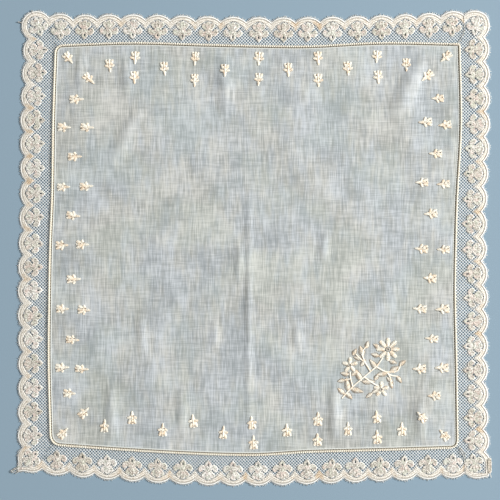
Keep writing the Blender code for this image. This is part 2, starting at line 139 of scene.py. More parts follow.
SPRAY_MIDDLE = (88.0, -89.0)
Leaf = namedtuple("Leaf", "x y heading length width")
SPRAY_LEAVES = [Leaf(*row) for row in (
    (-18.3, -13.6, 100.0, 10.2, 4.0), (-11.2, -17.7, -15.0, 9.6, 4.0), (-10.0, -6.5, 118.0, 9.6, 4.0),
    (-2.4, -11.2, 0.0, 9.6, 4.0), (1.2, 1.8, 128.0, 9.0, 3.7), (8.8, -5.3, 8.0, 9.6, 3.7),
    (17.1, -1.8, 30.0, 7.8, 4.2), (-7.7, 11.8, 110.0, 7.8, 4.2),
)]
# Smaller leaves between them, too slight for the solid
SPRAY_SMALL_LEAVES = [Leaf(*row) for row in (
    (-23.0, -18.3, 140.0, 6.6, 3.4), (-17.1, -21.8, -45.0, 6.6, 3.4), (-20.1, -5.3, 170.0, 6.6, 3.4),
    (-13.0, -4.7, 40.0, 6.0, 3.1), (-6.5, 2.9, 50.0, 6.0, 3.1), (-10.6, 6.5, 165.0, 6.0, 3.1),
    (2.4, -18.3, 210.0, 6.0, 3.1), (3.5, -7.7, 60.0, 5.4, 2.9), (13.6, -10.0, -40.0, 6.0, 3.1),
    (15.9, 3.5, -20.0, 6.0, 3.1), (2.4, 8.8, 165.0, 6.0, 3.1), (-3.5, 16.5, 80.0, 5.4, 3.1),
    (20.5, -9.5, -55.0, 6.0, 3.1), (23.0, 3.0, 35.0, 6.0, 3.1), (3.5, 15.5, 150.0, 5.5, 2.9),
    (-13.0, 11.0, 60.0, 5.5, 2.9), (-23.0, -10.5, 190.0, 5.5, 2.9), (14.5, -13.5, -75.0, 5.5, 2.9),
    (-2.0, -21.5, 215.0, 5.5, 2.9),
)]
Flower = namedtuple("Flower", "x y petals reach length width")
SPRAY_FLOWERS = (
    Flower(12.0, 13.0, 8, 5.4, 6.4, 3.7),
    Flower(-16.5, 1.2, 5, 3.5, 4.6, 3.2),
    Flower(7.0, -17.0, 5, 3.5, 4.6, 3.2),
)
# The stems, each by the points that it bends through, measured from the spray's middle
SPRAY_STEMS = (
    ((-22.5, -23.5), (-15.5, -16.0), (-6.0, -7.7), (3.0, 0.0), (8.0, 6.5)),
    ((-14.5, -14.8), (-16.0, -9.0), (-16.5, -4.0)),
    ((-6.0, -7.7), (0.6, -12.4), (4.7, -14.7)),
    ((3.0, 0.0), (9.5, -3.5), (16.5, -4.2)),
    ((-1.2, -3.5), (-5.3, 3.5), (-7.7, 9.5)),
    ((16.5, -4.2), (19.5, -2.6), (21.5, 1.5)),
    ((9.5, -3.5), (14.5, -6.6), (18.8, -7.2)),
    ((12.0, -5.2), (13.6, -8.2), (14.0, -11.2)),
    ((-7.4, 9.0), (-6.4, 12.6), (-4.2, 15.2)),
    ((-5.3, 3.5), (-9.0, 6.0), (-12.0, 9.2)),
    ((-16.0, -9.0), (-18.5, -9.6), (-20.6, -10.0)),
)

# The soft creases of the lawn, by the two ends of the crest; the last is too fine for the solid
Fold = namedtuple("Fold", "x0 y0 x1 y1 half_width height")
FOLDS = [Fold(*row) for row in (
    (127.9, 145.0, 103.1, 94.0, 11.0, 2.2), (-4.1, 51.0, -4.1, -147.0, 4.0, 1.1),
    (-11.6, 8.0, -11.6, -30.0, 5.0, 1.0), (52.1, 12.0, 52.1, -12.0, 5.5, 1.1),
    (-84.4, -50.0, -84.4, -80.0, 5.5, 1.0), (-29.6, -54.0, -29.6, -76.0, 4.5, 0.9),
    (31.9, -54.0, 31.9, -77.0, 4.5, 0.9), (-84.0, 104.0, -110.0, 60.0, 9.5, 1.5),
    (-130.9, 146.0, -130.9, 118.0, 5.5, 1.0), (-97.0, 147.0, -95.0, 112.0, 6.0, 1.0),
    (-106.9, -100.0, -106.9, -145.0, 6.5, 1.3), (-54.4, -102.0, -54.4, -147.0, 5.5, 1.0),
    (60.4, -100.0, 60.4, -149.0, 7.5, 1.5), (123.0, -112.0, 126.0, -145.0, 6.0, 1.2),
    (-22.1, 147.0, -22.1, 94.0, 8.0, 1.1), (148.0, 150.0, 147.0, -62.0, 2.0, 0.35),
)]
FOLD_END_SOFTNESS = 0.7


def place(side, along, out):
    """The point of the plane at a distance along a side and out from the middle."""
    along_way, out_way, _ = SIDES[side]
    return (
        along * along_way[0] + out * out_way[0],
        along * along_way[1] + out * out_way[1],
    )


def run_at(side, scallop):
    """The run at a scallop's number, whole or not, on a smooth curve through the side's rows."""
    rows = RUNS[side]
    last = len(rows) - 1
    index = 0
    while index < last - 1 and scallop > rows[index + 1].scallop:
        index += 1
    before = rows[max(index - 1, 0)]
    start = rows[index]
    end = rows[index + 1]
    after = rows[min(index + 2, last)]
    span = end.scallop - start.scallop
    t = (scallop - start.scallop) / span
    values = []
    for a, b, c, d in zip(before[1:], start[1:], end[1:], after[1:]):
        slope_in = (c - a) / (end.scallop - before.scallop) * span
        slope_out = (d - b) / (after.scallop - start.scallop) * span
        values.append(
            (2 * t**3 - 3 * t**2 + 1) * b
            + (t**3 - 2 * t**2 + t) * slope_in
            + (3 * t**2 - 2 * t**3) * c
            + (t**3 - t**2) * slope_out
        )
    return Run(scallop, *values)


def seam_reach(side, along):
    """How far out a side's seam line lies at a distance along it."""
    low, high = 1.0, float(SCALLOPS_PER_SIDE)
    rising = run_at(side, high).along > run_at(side, low).along
    for _ in range(SEAM_HALVINGS):
        middle = (low + high) / 2
        if (run_at(side, middle).along < along) == rising:
            low = middle
        else:
            high = middle
    return run_at(side, low).seam


def corner_of(side_a, side_b):
    """The corner that joins two sides, in either order."""
    for corner in CORNERS:
        if {corner.row, corner.column} == {side_a, side_b}:
            return corner
    raise ValueError(f"no corner between {side_a} and {side_b}")


def meeting(side, neighbour):
    """How far along a side its seam line meets its neighbour's, which is numbered from top or left."""
    neighbour_scallop = 1 if side in ("top", "left") else SCALLOPS_PER_SIDE
    return run_at(neighbour, neighbour_scallop).seam * sum(SIDES[neighbour].out_way)


def seam_corner(side, neighbour):
    """The point where two sides' seam lines would meet if the corner weren't rounded."""
    along = meeting(side, neighbour)
    return Vector(place(side, along, seam_reach(side, along)))


def fold_lift(x, y):
    """How far the lawn stands off the surface at a point, from all of its creases."""
    lift = 0.0
    for fold in FOLDS:
        way = (fold.x1 - fold.x0, fold.y1 - fold.y0)
        length = math.hypot(*way)
        along = ((x - fold.x0) * way[0] + (y - fold.y0) * way[1]) / length**2
        aside = abs((x - fold.x0) * way[1] - (y - fold.y0) * way[0]) / length / fold.half_width
        if 0 < along < 1 and aside < 1:
            crest = fold.height * math.sin(math.pi * along) ** FOLD_END_SOFTNESS
            lift += crest * math.cos(math.pi / 2 * aside) ** 2
    return lift


def sprigs():
    """Every sprig, with its head towards the nearest edge."""
    found = list(CORNER_SPRIGS)
    for side, spots in SPRIG_PLACES.items():
        for along, out in spots:
            found.append(Sprig(*place(side, along, out), SIDES[side].heading))
    return found


def turned(x, y, middle, heading):
    """A point given as across and forwards, turned so that forwards is the heading, and moved."""
    forward = (math.cos(math.radians(heading)), math.sin(math.radians(heading)))
    return (
        middle[0] + x * forward[1] + y * forward[0],
        middle[1] - x * forward[0] + y * forward[1],
    )


# ---- How the cloth lies

LAWN_UNDER = 0.35
LAWN_THICK = 0.2

# An unevenness: its amount, the size of its humps, its seed, and by what share of the amount it is
# raised
Ripple = namedtuple("Ripple", "amount size seed raised", defaults=(0.0,))
LAWN_RIPPLE = Ripple(0.3, 26.0, 1.7, 0.5)
FINE_RIPPLE = Ripple(0.05, 7.0, 5.3)
LACE_RIPPLE = Ripple(0.3, 15.0, 9.1, 0.35)
NET_SWAYS = (Ripple(0.45, 34.0, 21.3), Ripple(0.45, 34.0, 33.9))


def rippled(x, y, ripple):
    """How much an unevenness comes to at a point."""
    at = Vector((x / ripple.size, y / ripple.size, ripple.seed))
    return ripple.amount * (noise.noise(at) + ripple.raised)


def lawn_lift(x, y):
    """How far the lawn stands off the surface, with its creases and its small unevenness."""
    return fold_lift(x, y) + max(rippled(x, y, LAWN_RIPPLE) + rippled(x, y, FINE_RIPPLE), 0.0)


def lace_lift(x, y):
    """How far the lace stands off the surface where it ripples."""
    return max(rippled(x, y, LACE_RIPPLE), 0.0)


def on_lawn(x, y, height):
    """The point at a height over the lawn's upper side."""
    return (x, y, LAWN_UNDER + LAWN_THICK + height + lawn_lift(x, y))


def on_lace(x, y, height):
    """The point at a height in the lace."""
    return (x, y, height + lace_lift(x, y))


def uneven(amount):
    """A factor near 1, by chance up to an amount off it."""
    return 1 + chance.uniform(-amount, amount)


# ---- Making pieces

# Points of one outline that lie nearer than this are the same point
SAME_POINT = 0.001


def numbered(*names):
    """An empty shape whose points carry numbers by name, which its finish reads."""
    shape = bmesh.new()
    for name in names:
        shape.verts.layers.float.new(name)
    return shape


def mark(shape, verts, **numbers):
    """Gives each of some points the same numbers."""
    for name, number in numbers.items():
        layer = shape.verts.layers.float[name]
        for vert in verts:
            vert[layer] = number


def lay_grid(shape, columns, rows, put):
    """A grid of columns by rows of points, each moved to where put(column, row) says."""
    made = bmesh.ops.create_grid(shape, x_segments=columns - 1, y_segments=rows - 1, size=1)
    verts = made["verts"]
    for index, vert in enumerate(verts):
        vert.co = put(index % columns, index // columns)
    return verts


def as_mesh(shape, name):
    """A shape written to a mesh of its own."""
    mesh = bpy.data.meshes.new(name)
    shape.to_mesh(mesh)
    shape.free()
    return mesh


def stamp(shape, mesh, put):
    """Adds a copy of a mesh to a shape from which nothing was deleted, each point where put says."""
    first = len(shape.verts)
    shape.from_mesh(mesh)
    shape.verts.ensure_lookup_table()
    added = shape.verts[first:]
    for vert in added:
        vert.co = put(vert.co)
    return added


def placed(name, data):
    """An object with some data, linked to the scene."""
    made = bpy.data.objects.new(name, data)
    bpy.context.collection.objects.link(made)
    return made


def finished(name, shape, materials, node=None):
    """A piece from a shape in millimetres: its mesh in metres, riding on the one body."""
    bmesh.ops.scale(shape, vec=(METRES_PER_MM,) * 3, verts=shape.verts[:])
    mesh = as_mesh(shape, name)
    for material in materials:
        mesh.materials.append(material)
    mesh.shade_smooth()
    piece = placed(name, mesh)
    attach(piece, "root")
    if node:
        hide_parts(node)
    return piece


def between(a, b, c, d, t):
    """The point at a share of the way from b to c, on a smooth line that a and d shape too."""
    return (
        b + (c - a) * t / 2
        + (2 * a - 5 * b + 4 * c - d) * t**2 / 2
        + (3 * b - 3 * c + d - a) * t**3 / 2
    )


def closed_ring(points, steps):
    """A smooth closed line through the points, with the same number of steps after each."""
    line = []
    for index in range(len(points)):
        around = [Vector(points[(index + shift) % len(points)]) for shift in (-1, 0, 1, 2)]
        line += [between(*around, step / steps) for step in range(steps)]
    return line


def open_line(points, spacing):
    """Points a spacing apart on a smooth line through the given ones."""
    ends = [2 * Vector(points[0]) - Vector(points[1]), *map(Vector, points)]
    ends.append(2 * ends[-1] - ends[-2])
    line = []
    for around in zip(ends, ends[1:], ends[2:], ends[3:]):
        steps = max(1, round((around[2] - around[1]).length / spacing))
        line += [between(*around, step / steps) for step in range(steps)]
    return [*line, ends[-2]]


# ---- Finishes

def maths(operation, reflected=False):
    """An operator of Value, which adds a Math node; a reflected one has its value on the right."""
    def worked(value, other):
        first, second = (other, value) if reflected else (value, other)
        return value.finish.add("ShaderNodeMath", {"operation": operation}, {0: first, 1: second})

    return worked


class Value:
    """A socket of a finish, so that its maths reads as it is worked out."""

    def __init__(self, finish, socket):
        self.finish = finish
        self.socket = socket

    __add__ = maths("ADD")
    __radd__ = maths("ADD", reflected=True)
    __sub__ = maths("SUBTRACT")
    __rsub__ = maths("SUBTRACT", reflected=True)
    __mul__ = maths("MULTIPLY")
    __rmul__ = maths("MULTIPLY", reflected=True)


class Finish:
    """A material that is built up from nodes around one shader."""

    def __init__(self, name, roughness, sheen=0.0):
        self.material = bpy.data.materials.new(name)
        self.material.use_nodes = True
        self.tree = self.material.node_tree
        self.shader = self.tree.nodes["Principled BSDF"]
        self.shader.inputs["Roughness"].default_value = roughness
        self.shader.inputs["Specular IOR Level"].default_value = 0.25
        self.shader.inputs["Sheen Weight"].default_value = sheen

    def add(self, kind, settings, inputs, output=0):
        """A node of a kind, its settings first and then its inputs, and one of its outputs."""
        node = self.tree.nodes.new(kind)
        for name, setting in settings.items():
            setattr(node, name, setting)
        for name, value in inputs.items():
            if isinstance(value, Value):
                self.tree.links.new(value.socket, node.inputs[name])
            else:
                node.inputs[name].default_value = value
        return Value(self, node.outputs[output])

    def feed(self, name, value):
        """Links a value to one of the shader's own sockets."""
        self.tree.links.new(value.socket, self.shader.inputs[name])

    @cached_property
    def at(self):
        """The piece's own coordinates in millimetres."""
        place = self.add("ShaderNodeTexCoord", {}, {}, "Object")
        return self.scaled(place, (1 / METRES_PER_MM,) * 3)

    def scaled(self, vector, factors):
        """A vector with each part multiplied by its factor."""
        settings = {"vector_type": "POINT"}
        return self.add("ShaderNodeMapping", settings, {"Vector": vector, "Scale": factors})

    def grain(self, size_x, size_y=None, detail=1.0):
        """Soft noise from 0 to 1, in humps of about that size in millimetres."""
        size_y = size_y or size_x
        at = self.scaled(self.at, (1 / size_x, 1 / size_y, 1 / max(size_x, size_y)))
        return self.add("ShaderNodeTexNoise", {}, {"Vector": at, "Scale": 1.0, "Detail": detail})

    def kept(self, value, low, high):
        """A value carried to the range from 0 to 1 and held there."""
        inputs = {"Value": value, "From Min": low, "From Max": high}
        return self.add("ShaderNodeMapRange", {"interpolation_type": "SMOOTHSTEP"}, inputs)

    def along(self, axis):
        """The coordinate along an axis in millimetres, by the axis's letter."""
        return self.add("ShaderNodeSeparateXYZ", {}, {"Vector": self.at}, axis)

    def attribute(self, name):
        """One of the mesh's own numbers at a point."""
        return self.add("ShaderNodeAttribute", {"attribute_name": name}, {}, "Fac")

    def blend(self, share, first, second):
        """Two colours, the second by its share."""
        # a Mix node has one set of sockets for each kind of data; these are its colour ones
        return self.add("ShaderNodeMix", {"data_type": "RGBA"}, {0: share, 6: first, 7: second}, 2)

    def wave(self, value, length):
        """A wave between 0 and 1 along a value."""
        inputs = {0: value * (2 * math.pi / length)}
        return 0.5 + 0.5 * self.add("ShaderNodeMath", {"operation": "SINE"}, inputs)

    def bump(self, height, strength, distance_mm):
        """Raises the surface by a height, and gives it to the shader."""
        inputs = {"Height": height, "Strength": strength, "Distance": distance_mm * METRES_PER_MM}
        self.feed("Normal", self.add("ShaderNodeBump", {}, inputs))


def rgb(red, green, blue):
    """A colour from 0 to 255 as a screen shows it, as the linear one that a shader takes."""
    return tuple(
        (c / 255 / 12.92) if c <= 10 else ((c / 255 + 0.055) / 1.055) ** 2.4
        for c in (red, green, blue)
    ) + (1.0,)


def lawn_finish():
    """Sheer fine lawn: uneven threads both ways, thin places, cool and warm clouds, a painted highlight on
    the creases.
    """
    finish = Finish("fine_lawn", 0.85, sheen=0.1)
    grain, kept, blend = finish.grain, finish.kept, finish.blend
    threads = grain(0.8, 12.0) * 0.66 + grain(10.0, 0.9) * 0.34
    slubs = grain(2.4, 26.0) * 0.55 + grain(22.0, 2.6) * 0.45
    cloud = grain(26.0, 30.0, detail=3.0)
    light = kept(threads * 0.47 + slubs * 0.25 + cloud * 0.28, 0.36, 0.64)
    broad = grain(46.0, 60.0, detail=2.0) * 0.65 + grain(5.0, 18.0) * 0.35
    warmth = kept(broad, 0.38, 0.62)
    green = kept(grain(44.0, 36.0, detail=2.0), 0.42, 0.62)
    dark = blend(warmth, rgb(155, 161, 163), rgb(159, 161, 156))
    pale = blend(warmth, rgb(202, 207, 210), rgb(208, 208, 202))
    colour = blend(green * 0.14, blend(light, dark, pale), rgb(170, 187, 173))
    # painted highlight: the lawn is paled where its creases stand up, as if lit along their crests
    painted_crest_highlight = kept(finish.attribute("lifted"), 0.25, 1.5)
    finish.feed("Base Color", blend(painted_crest_highlight * 0.25, colour, rgb(222, 226, 226)))
    finish.feed("Alpha", 0.86 + 0.12 * light)
    finish.bump(threads, 0.35, 0.25)
    return finish.material


def clothwork_finish():
    """Close-worked lace, ivory to beige by the mesh's tone: woven threads, open places painted dark as
    shade, whiter rims.
    """
    finish = Finish("lace_clothwork", 0.9)
    grain, kept, blend = finish.grain, finish.kept, finish.blend
    rim = kept(finish.attribute("across"), 0.72, 0.9)
    speckle = kept(grain(0.75), 0.36, 0.62)
    beige = blend(speckle, rgb(140, 131, 114), rgb(222, 212, 196))
    ivory = blend(speckle, rgb(164, 160, 149), rgb(253, 250, 243))
    colour = blend(finish.attribute("tone"), beige, ivory)
    tinge = grain(2.6)
    colour = blend(kept(tinge, 0.54, 0.68) * 0.4, colour, rgb(238, 208, 196))
    colour = blend((1.0 - kept(tinge, 0.34, 0.46)) * 0.35, colour, rgb(208, 218, 196))
    bend = 1.4 * grain(3.0, detail=0.0)
    warp = finish.wave(finish.along("X") + bend, 0.66)
    weft = finish.wave(finish.along("Y") + bend, 0.66)
    open_places = kept(grain(1.3), 0.44, 0.62)
    gaps = kept(warp * weft, 0.3, 0.75) * (0.3 + 0.7 * open_places) * (1.0 - 0.8 * rim)
    # painted shade: the gaps between the woven threads are darkened in the colour
    colour = blend(gaps * 0.85, colour, rgb(100, 98, 88))
    finish.feed("Base Color", blend(rim * 0.35, colour, rgb(255, 252, 244)))
    finish.bump(speckle * 0.4 - gaps, 0.6, 0.25)
    return finish.material


def border_finish():
    """The scalloped border: a white edge cord, a line of pin holes, then nested passes of thread; the
    holes and the gaps between passes are painted shade.
    """
    finish = Finish("lace_border", 0.9)
    grain, kept, blend = finish.grain, finish.kept, finish.blend
    across = finish.attribute("across")
    speckle = kept(grain(0.7), 0.35, 0.62)
    tone = kept(finish.attribute("tone") + 1.3 * (grain(4.5) - 0.5), 0.1, 0.8)
    beige = blend(speckle, rgb(186, 158, 126), rgb(238, 218, 190))
    ivory = blend(speckle, rgb(208, 200, 184), rgb(255, 250, 240))
    # painted shade: dark bands between the nested passes of thread
    passes = kept(finish.wave(across + 0.3 * speckle, 1.5), 0.6, 0.95)
    colour = blend(passes * 0.62, blend(tone, beige, ivory), rgb(116, 106, 90))
    # painted shade: the pin holes are a dark line in the colour
    pin_hole_shade = kept(across, 0.8, 0.95) - kept(across, 1.15, 1.35)
    colour = blend(pin_hole_shade * (0.6 + 0.4 * speckle), colour, rgb(92, 90, 80))
    edge = 1.0 - kept(across, 0.65, 0.85)
    finish.feed("Base Color", blend(edge * 0.85, colour, rgb(255, 254, 249)))
    finish.bump(speckle * 0.6 - passes * 0.5, 0.4, 0.2)
    return finish.material


def net_finish():
    """The thin twisted threads of the net."""
    finish = Finish("lace_net", 0.9)
    patch = finish.kept(finish.grain(1.6), 0.38, 0.6)
    finish.feed("Base Color", finish.blend(patch, rgb(246, 245, 238), rgb(255, 255, 252)))
    return finish.material


def thread_finish(name, patch_size, peachy):
    """Cream thread with a soft shine, peach in patches of a size by a share, brown by the mesh's shade."""
    finish = Finish(name, 0.55, sheen=0.2)
    strand = finish.grain(0.35)
    patch = finish.kept(finish.grain(patch_size), 0.36, 0.58)
    peach = finish.blend(strand, rgb(226, 202, 172), rgb(249, 232, 207))
    cream = finish.blend(strand, rgb(240, 232, 213), rgb(255, 252, 241))
    colour = finish.blend(1.0 - (1.0 - patch) * peachy, peach, cream)
    # the mesh's shade number blends to brown: painted shade in the sprigs' hollows and round the leaves,
    # and a duller tone on the leaves
    finish.feed("Base Color", finish.blend(finish.attribute("shade"), colour, rgb(104, 78, 54)))
    finish.bump(strand, 0.4, 0.15)
    return finish.material


def hem_finish():
    """The rolled edge of the lawn, with a dotted line of needle holes inside the roll, painted dark as
    shade.
    """
    finish = Finish("rolled_hem", 0.85)
    kept, blend = finish.kept, finish.blend
    across = finish.attribute("across")
    hole_shade_dots = finish.wave(finish.attribute("along"), 2.1)
    streak = finish.grain(0.7)
    roll = blend(streak, rgb(182, 174, 152), rgb(228, 221, 202))
    flat = blend(streak, rgb(198, 201, 197), rgb(222, 224, 218))
    cloth = blend(kept(across, 1.3, 1.6), roll, flat)
    # painted shade: the needle holes are a dark dotted line in the colour, where the roll shades them
    line = kept(across, 0.7, 0.9) - kept(across, 1.35, 1.6)
    finish.feed("Base Color", blend(line * (0.5 + 0.5 * hole_shade_dots), cloth, rgb(66, 52, 34)))
    finish.bump(streak - line, 0.5, 0.3)
    return finish.material


# ---- The lace

# How its outer edge is stationed, and the border's width at a scallop's tip and at its ends
EDGE_STEPS = 14
LOBE_STEPS = 26
BORDER_WIDTH = 3.2
WEDGE_EXTRA = 3.1
WEDGE_POWER = 1.15
# How ivory the border is at its tips, and the least and most at its wedges
TIP_TONE = 0.9
WEDGE_TONES = (0.1, 1.0)

# The border's section, by the share of its width from the outer edge, and the height
BORDER_SECTION = (
    (0.0, 0.06), (0.0, 0.42), (0.07, 0.68), (0.18, 0.66), (0.27, 0.42), (0.36, 0.44), (0.5, 0.6),
    (0.72, 0.56), (0.86, 0.7), (0.96, 0.62), (1.0, 0.4), (1.0, 0.06),
)

# The thread that runs round inside the border, by the distance from it, and the height
RAIL_SECTION = ((0.8, 0.3), (0.8, 0.66), (1.1, 0.66), (1.1, 0.3))
RAIL_AT = 0.95

Scallop = namedtuple("Scallop", "start end rise drawn_out inward_start inward_end steps")


def inward(side):
    """The direction from a side towards the middle."""
    return -Vector(SIDES[side].out_way)


def scallops_of(side, before, after):
    """A lace length's scallops in clockwise order, with the corner lobes on the left and right ones."""
    valleys = []
    for number in range(1, SCALLOPS_PER_SIDE):
        run = run_at(side, number + 0.5)
        valleys.append(Vector(place(side, run.along, run.tip - SCALLOP_RISE)))
    if side in ("bottom", "left"):
        valleys.reverse()
    has_lobes = side in ("left", "right")
    near = "column_valley" if has_lobes else "row_valley"
    valleys = [Vector(getattr(before, near)), *valleys, Vector(getattr(after, near))]
    way_in = inward(side)
    found = [
        Scallop(start, end, SCALLOP_RISE, 0.0, way_in, way_in, EDGE_STEPS)
        for start, end in zip(valleys, valleys[1:])
    ]
    if has_lobes:
        found.insert(0, Scallop(
            Vector(before.row_valley), valleys[0], before.rise, before.drawn_out,
            inward(before.row), way_in, LOBE_STEPS,
        ))
        found.append(Scallop(
            valleys[-1], Vector(after.row_valley), after.rise, after.drawn_out,
            way_in, inward(after.row), LOBE_STEPS,
        ))
    return found


Station = namedtuple("Station", "outer inner share wedge_tone")


def stations_along(scallops):
    """Places along the border: its outer and inner point, and how near a valley it is, 0 to 1."""
    stations = []
    tones = [chance.uniform(*WEDGE_TONES) for _ in range(len(scallops) + 1)]
    for number, scallop in enumerate(scallops):
        chord = scallop.end - scallop.start
        way = chord.normalized()
        out = Vector((-way.y, way.x))
        if out.dot(scallop.start + scallop.end) < 0:
            out = -out
        radius = (chord.length**2 / 4 + scallop.rise**2) / (2 * scallop.rise)
        half_angle = math.atan2(chord.length / 2, radius - scallop.rise)
        first = 1 if stations else 0
        for step in range(first, scallop.steps + 1):
            share = 2 * step / scallop.steps - 1
            angle = share * half_angle
            along = chord.length / 2 + radius * math.sin(angle)
            point = max(0.0, 1 - abs(share) / CORNER_SHARE) ** 2
            height = radius * (math.cos(angle) - 1) + scallop.rise + scallop.drawn_out * point
            outer = scallop.start + way * along + out * height
            to_in = scallop.inward_start.lerp(scallop.inward_end, step / scallop.steps).normalized()
            width = BORDER_WIDTH + WEDGE_EXTRA * abs(share) ** WEDGE_POWER
            wedge_tone = tones[number] if share < 0 else tones[number + 1]
            stations.append(Station(outer, outer + to_in * width, abs(share), wedge_tone))
    return stations


def inside_border(station, further):
    """A point that lies further in than the border, by a distance."""
    return station.inner + (station.inner - station.outer).normalized() * further


def border_tone(station):
    """How ivory the border is, from its scallops' tips to the wedges, each of its own tone."""
    return TIP_TONE + (station.wedge_tone - TIP_TONE) * station.share**2


def border_shape(stations):
    """The scalloped border with its two edge cords and the rail inside it, closed underneath."""
    shape = numbered("tone", "across")
    tone = shape.verts.layers.float["tone"]
    across = shape.verts.layers.float["across"]

    def put(column, row):
        share, height = BORDER_SECTION[row % len(BORDER_SECTION)]
        return on_lace(*stations[column].outer.lerp(stations[column].inner, share), height)

    def put_rail(column, row):
        further, height = RAIL_SECTION[row % len(RAIL_SECTION)]
        return on_lace(*inside_border(stations[column], further), height)

    count = len(stations)
    for index, vert in enumerate(lay_grid(shape, count, len(BORDER_SECTION) + 1, put)):
        station = stations[index % count]
        share = BORDER_SECTION[index // count % len(BORDER_SECTION)][0]
        vert[tone] = border_tone(station)
        vert[across] = share * (station.inner - station.outer).length
    mark(shape, lay_grid(shape, count, len(RAIL_SECTION) + 1, put_rail), tone=1.0)
    bmesh.ops.remove_doubles(shape, verts=shape.verts[:], dist=SAME_POINT)
    bmesh.ops.recalc_face_normals(shape, faces=shape.faces[:])
    return shape


def both_sides(half):
    """An outline from its right half, whose ends lie on or next to the middle line."""
    return [*half, *((-x, y) for x, y in reversed(half) if x)]


# The lace motif's pads, measured across and inwards from the scallop's tip: each by the points
# that its outline bends through
SIDE_PAD = ((0.9, 11.0), (2.4, 10.8), (3.4, 11.4), (4.2, 10.3), (5.4, 9.5), (6.8, 10.3), (7.4, 12.0),
            (6.7, 13.7), (5.2, 14.9), (3.4, 15.1), (2.2, 14.4), (1.2, 13.0))
LOWER_SIDE_PAD = ((0.7, 10.2), (2.8, 10.1), (3.9, 9.0), (4.9, 7.4), (4.5, 5.8), (3.4, 4.9), (2.3, 5.1),
                  (1.5, 6.4), (0.8, 8.4))
TOP_PAD = both_sides((
    (0.0, 18.7), (0.8, 17.8), (1.8, 16.9), (2.4, 15.5), (2.1, 13.8), (1.3, 12.2), (0.8, 10.9),
))
LOWER_PAD = both_sides(((0.0, 3.9), (1.3, 4.4), (1.8, 6.2), (1.4, 8.6), (0.8, 10.2)))
BAND_PAD = both_sides(((0.0, 9.65), (1.3, 9.75), (2.6, 10.3), (1.3, 10.85), (0.0, 10.95)))
SIDE_LIFT = 0.28
MIDDLE_LIFT = 0.38
BAND_LIFT = 0.5
PAD_STEPS = 2
# A pad's section, by the share of the way out from its middle or its hole, and the height
PAD_SECTION = ((0.0, 0.56), (0.62, 0.52), (0.84, 0.66), (0.97, 0.5), (1.0, 0.06), (0.0, 0.06))
HOLED_SECTION = (
    (0.0, 0.06), (0.0, 0.6), (0.25, 0.68), (0.6, 0.6), (0.84, 0.7), (1.0, 0.5), (1.0, 0.06), (0.0, 0.06),
)
# A hole through a pad, by its middle and its two half widths
Hole = namedtuple("Hole", "middle half_x half_y")
TOP_HOLE = Hole((0.0, 15.2), 0.55, 0.95)


def add_pad(shape, outline, lift, section=PAD_SECTION, hole=None):
    """One close-worked pad: a raised rim round a flatter middle or round a hole, closed underneath."""
    across = shape.verts.layers.float["across"]
    ring = closed_ring(outline, PAD_STEPS)
    count = len(ring)
    hole = hole or Hole(sum(ring, Vector((0.0, 0.0))) / count, 0.0, 0.0)
    inner = []
    for point in ring:
        way = (point - Vector(hole.middle)).normalized()
        inner.append(Vector(hole.middle) + Vector((way.x * hole.half_x, way.y * hole.half_y)))

    def put(column, row):
        share, height = section[row]
        return (*inner[column % count].lerp(ring[column % count], share), height + lift)

    verts = lay_grid(shape, count + 1, len(section), put)
    for index, vert in enumerate(verts):
        vert[across] = section[index // (count + 1)][0]
    bmesh.ops.remove_doubles(shape, verts=verts, dist=SAME_POINT)


def motif_mesh():
    """One lace motif as a mesh, in its own across and inwards."""
    shape = numbered("tone", "across")
    for outline in (SIDE_PAD, LOWER_SIDE_PAD):
        add_pad(shape, outline, SIDE_LIFT)
        add_pad(shape, [(-x, y) for x, y in outline], SIDE_LIFT)
    add_pad(shape, LOWER_PAD, MIDDLE_LIFT)
    add_pad(shape, TOP_PAD, MIDDLE_LIFT, HOLED_SECTION, TOP_HOLE)
    add_pad(shape, BAND_PAD, BAND_LIFT)
    bmesh.ops.recalc_face_normals(shape, faces=shape.faces[:])
    return as_mesh(shape, "lace_motif")


Motif = namedtuple("Motif", "tip heading tone")

# How ivory each motif is, in the order of its scallops, from beige 0 to ivory 1
MOTIF_TONES = {
    "top": (0.5, 0.2, 0.4, 0.7, 0.3, 0.5, 0.2, 0.6, 0.4, 0.25, 0.5, 0.7, 0.4, 0.3, 0.5, 0.4, 0.3),
    "right": (0.3, 0.4, 0.3, 0.5, 0.7, 0.3, 0.5, 0.4, 0.6, 0.3, 0.5, 0.4, 0.7, 0.4, 0.5, 0.3, 0.5),
    "bottom": (0.35, 0.2, 0.9, 0.35, 0.4, 0.35, 0.95, 0.7, 0.9, 0.4, 0.5, 0.35, 0.6, 0.4, 0.5, 0.45, 0.8),
    "left": (0.6, 0.5, 0.7, 0.4, 0.5, 0.8, 0.5, 0.6, 0.5, 0.35, 0.9, 0.4, 0.85, 0.4, 0.8, 0.35, 0.6),
}
CORNER_TONES = {"top": 0.8, "bottom": 0.5}
# How much the motifs differ in width, and how many degrees each is turned at most
MOTIF_UNEVEN = 0.03
MOTIF_TURN = 2.5


def motifs_of(side, corners):
    """The motifs of a lace length."""
    found = []
    for number, tone in enumerate(MOTIF_TONES[side], start=1):
        run = run_at(side, number)
        found.append(Motif(place(side, run.along, run.tip), SIDES[side].heading, tone))
    if side in ("left", "right"):
        for corner in corners:
            found.append(Motif(corner.motif_tip, corner.heading, CORNER_TONES[corner.row]))
    return found


def add_motifs(shape, motifs, mesh):
    """The motifs of a lace length, each a little uneven."""
    for motif in motifs:
        size = uneven(MOTIF_UNEVEN)
        heading = motif.heading + 180.0 + chance.uniform(-MOTIF_TURN, MOTIF_TURN)

        def put(point):
            return on_lace(*turned(point.x * size, point.y, motif.tip, heading), point.z)

        mark(shape, stamp(shape, mesh, put), tone=motif.tone)


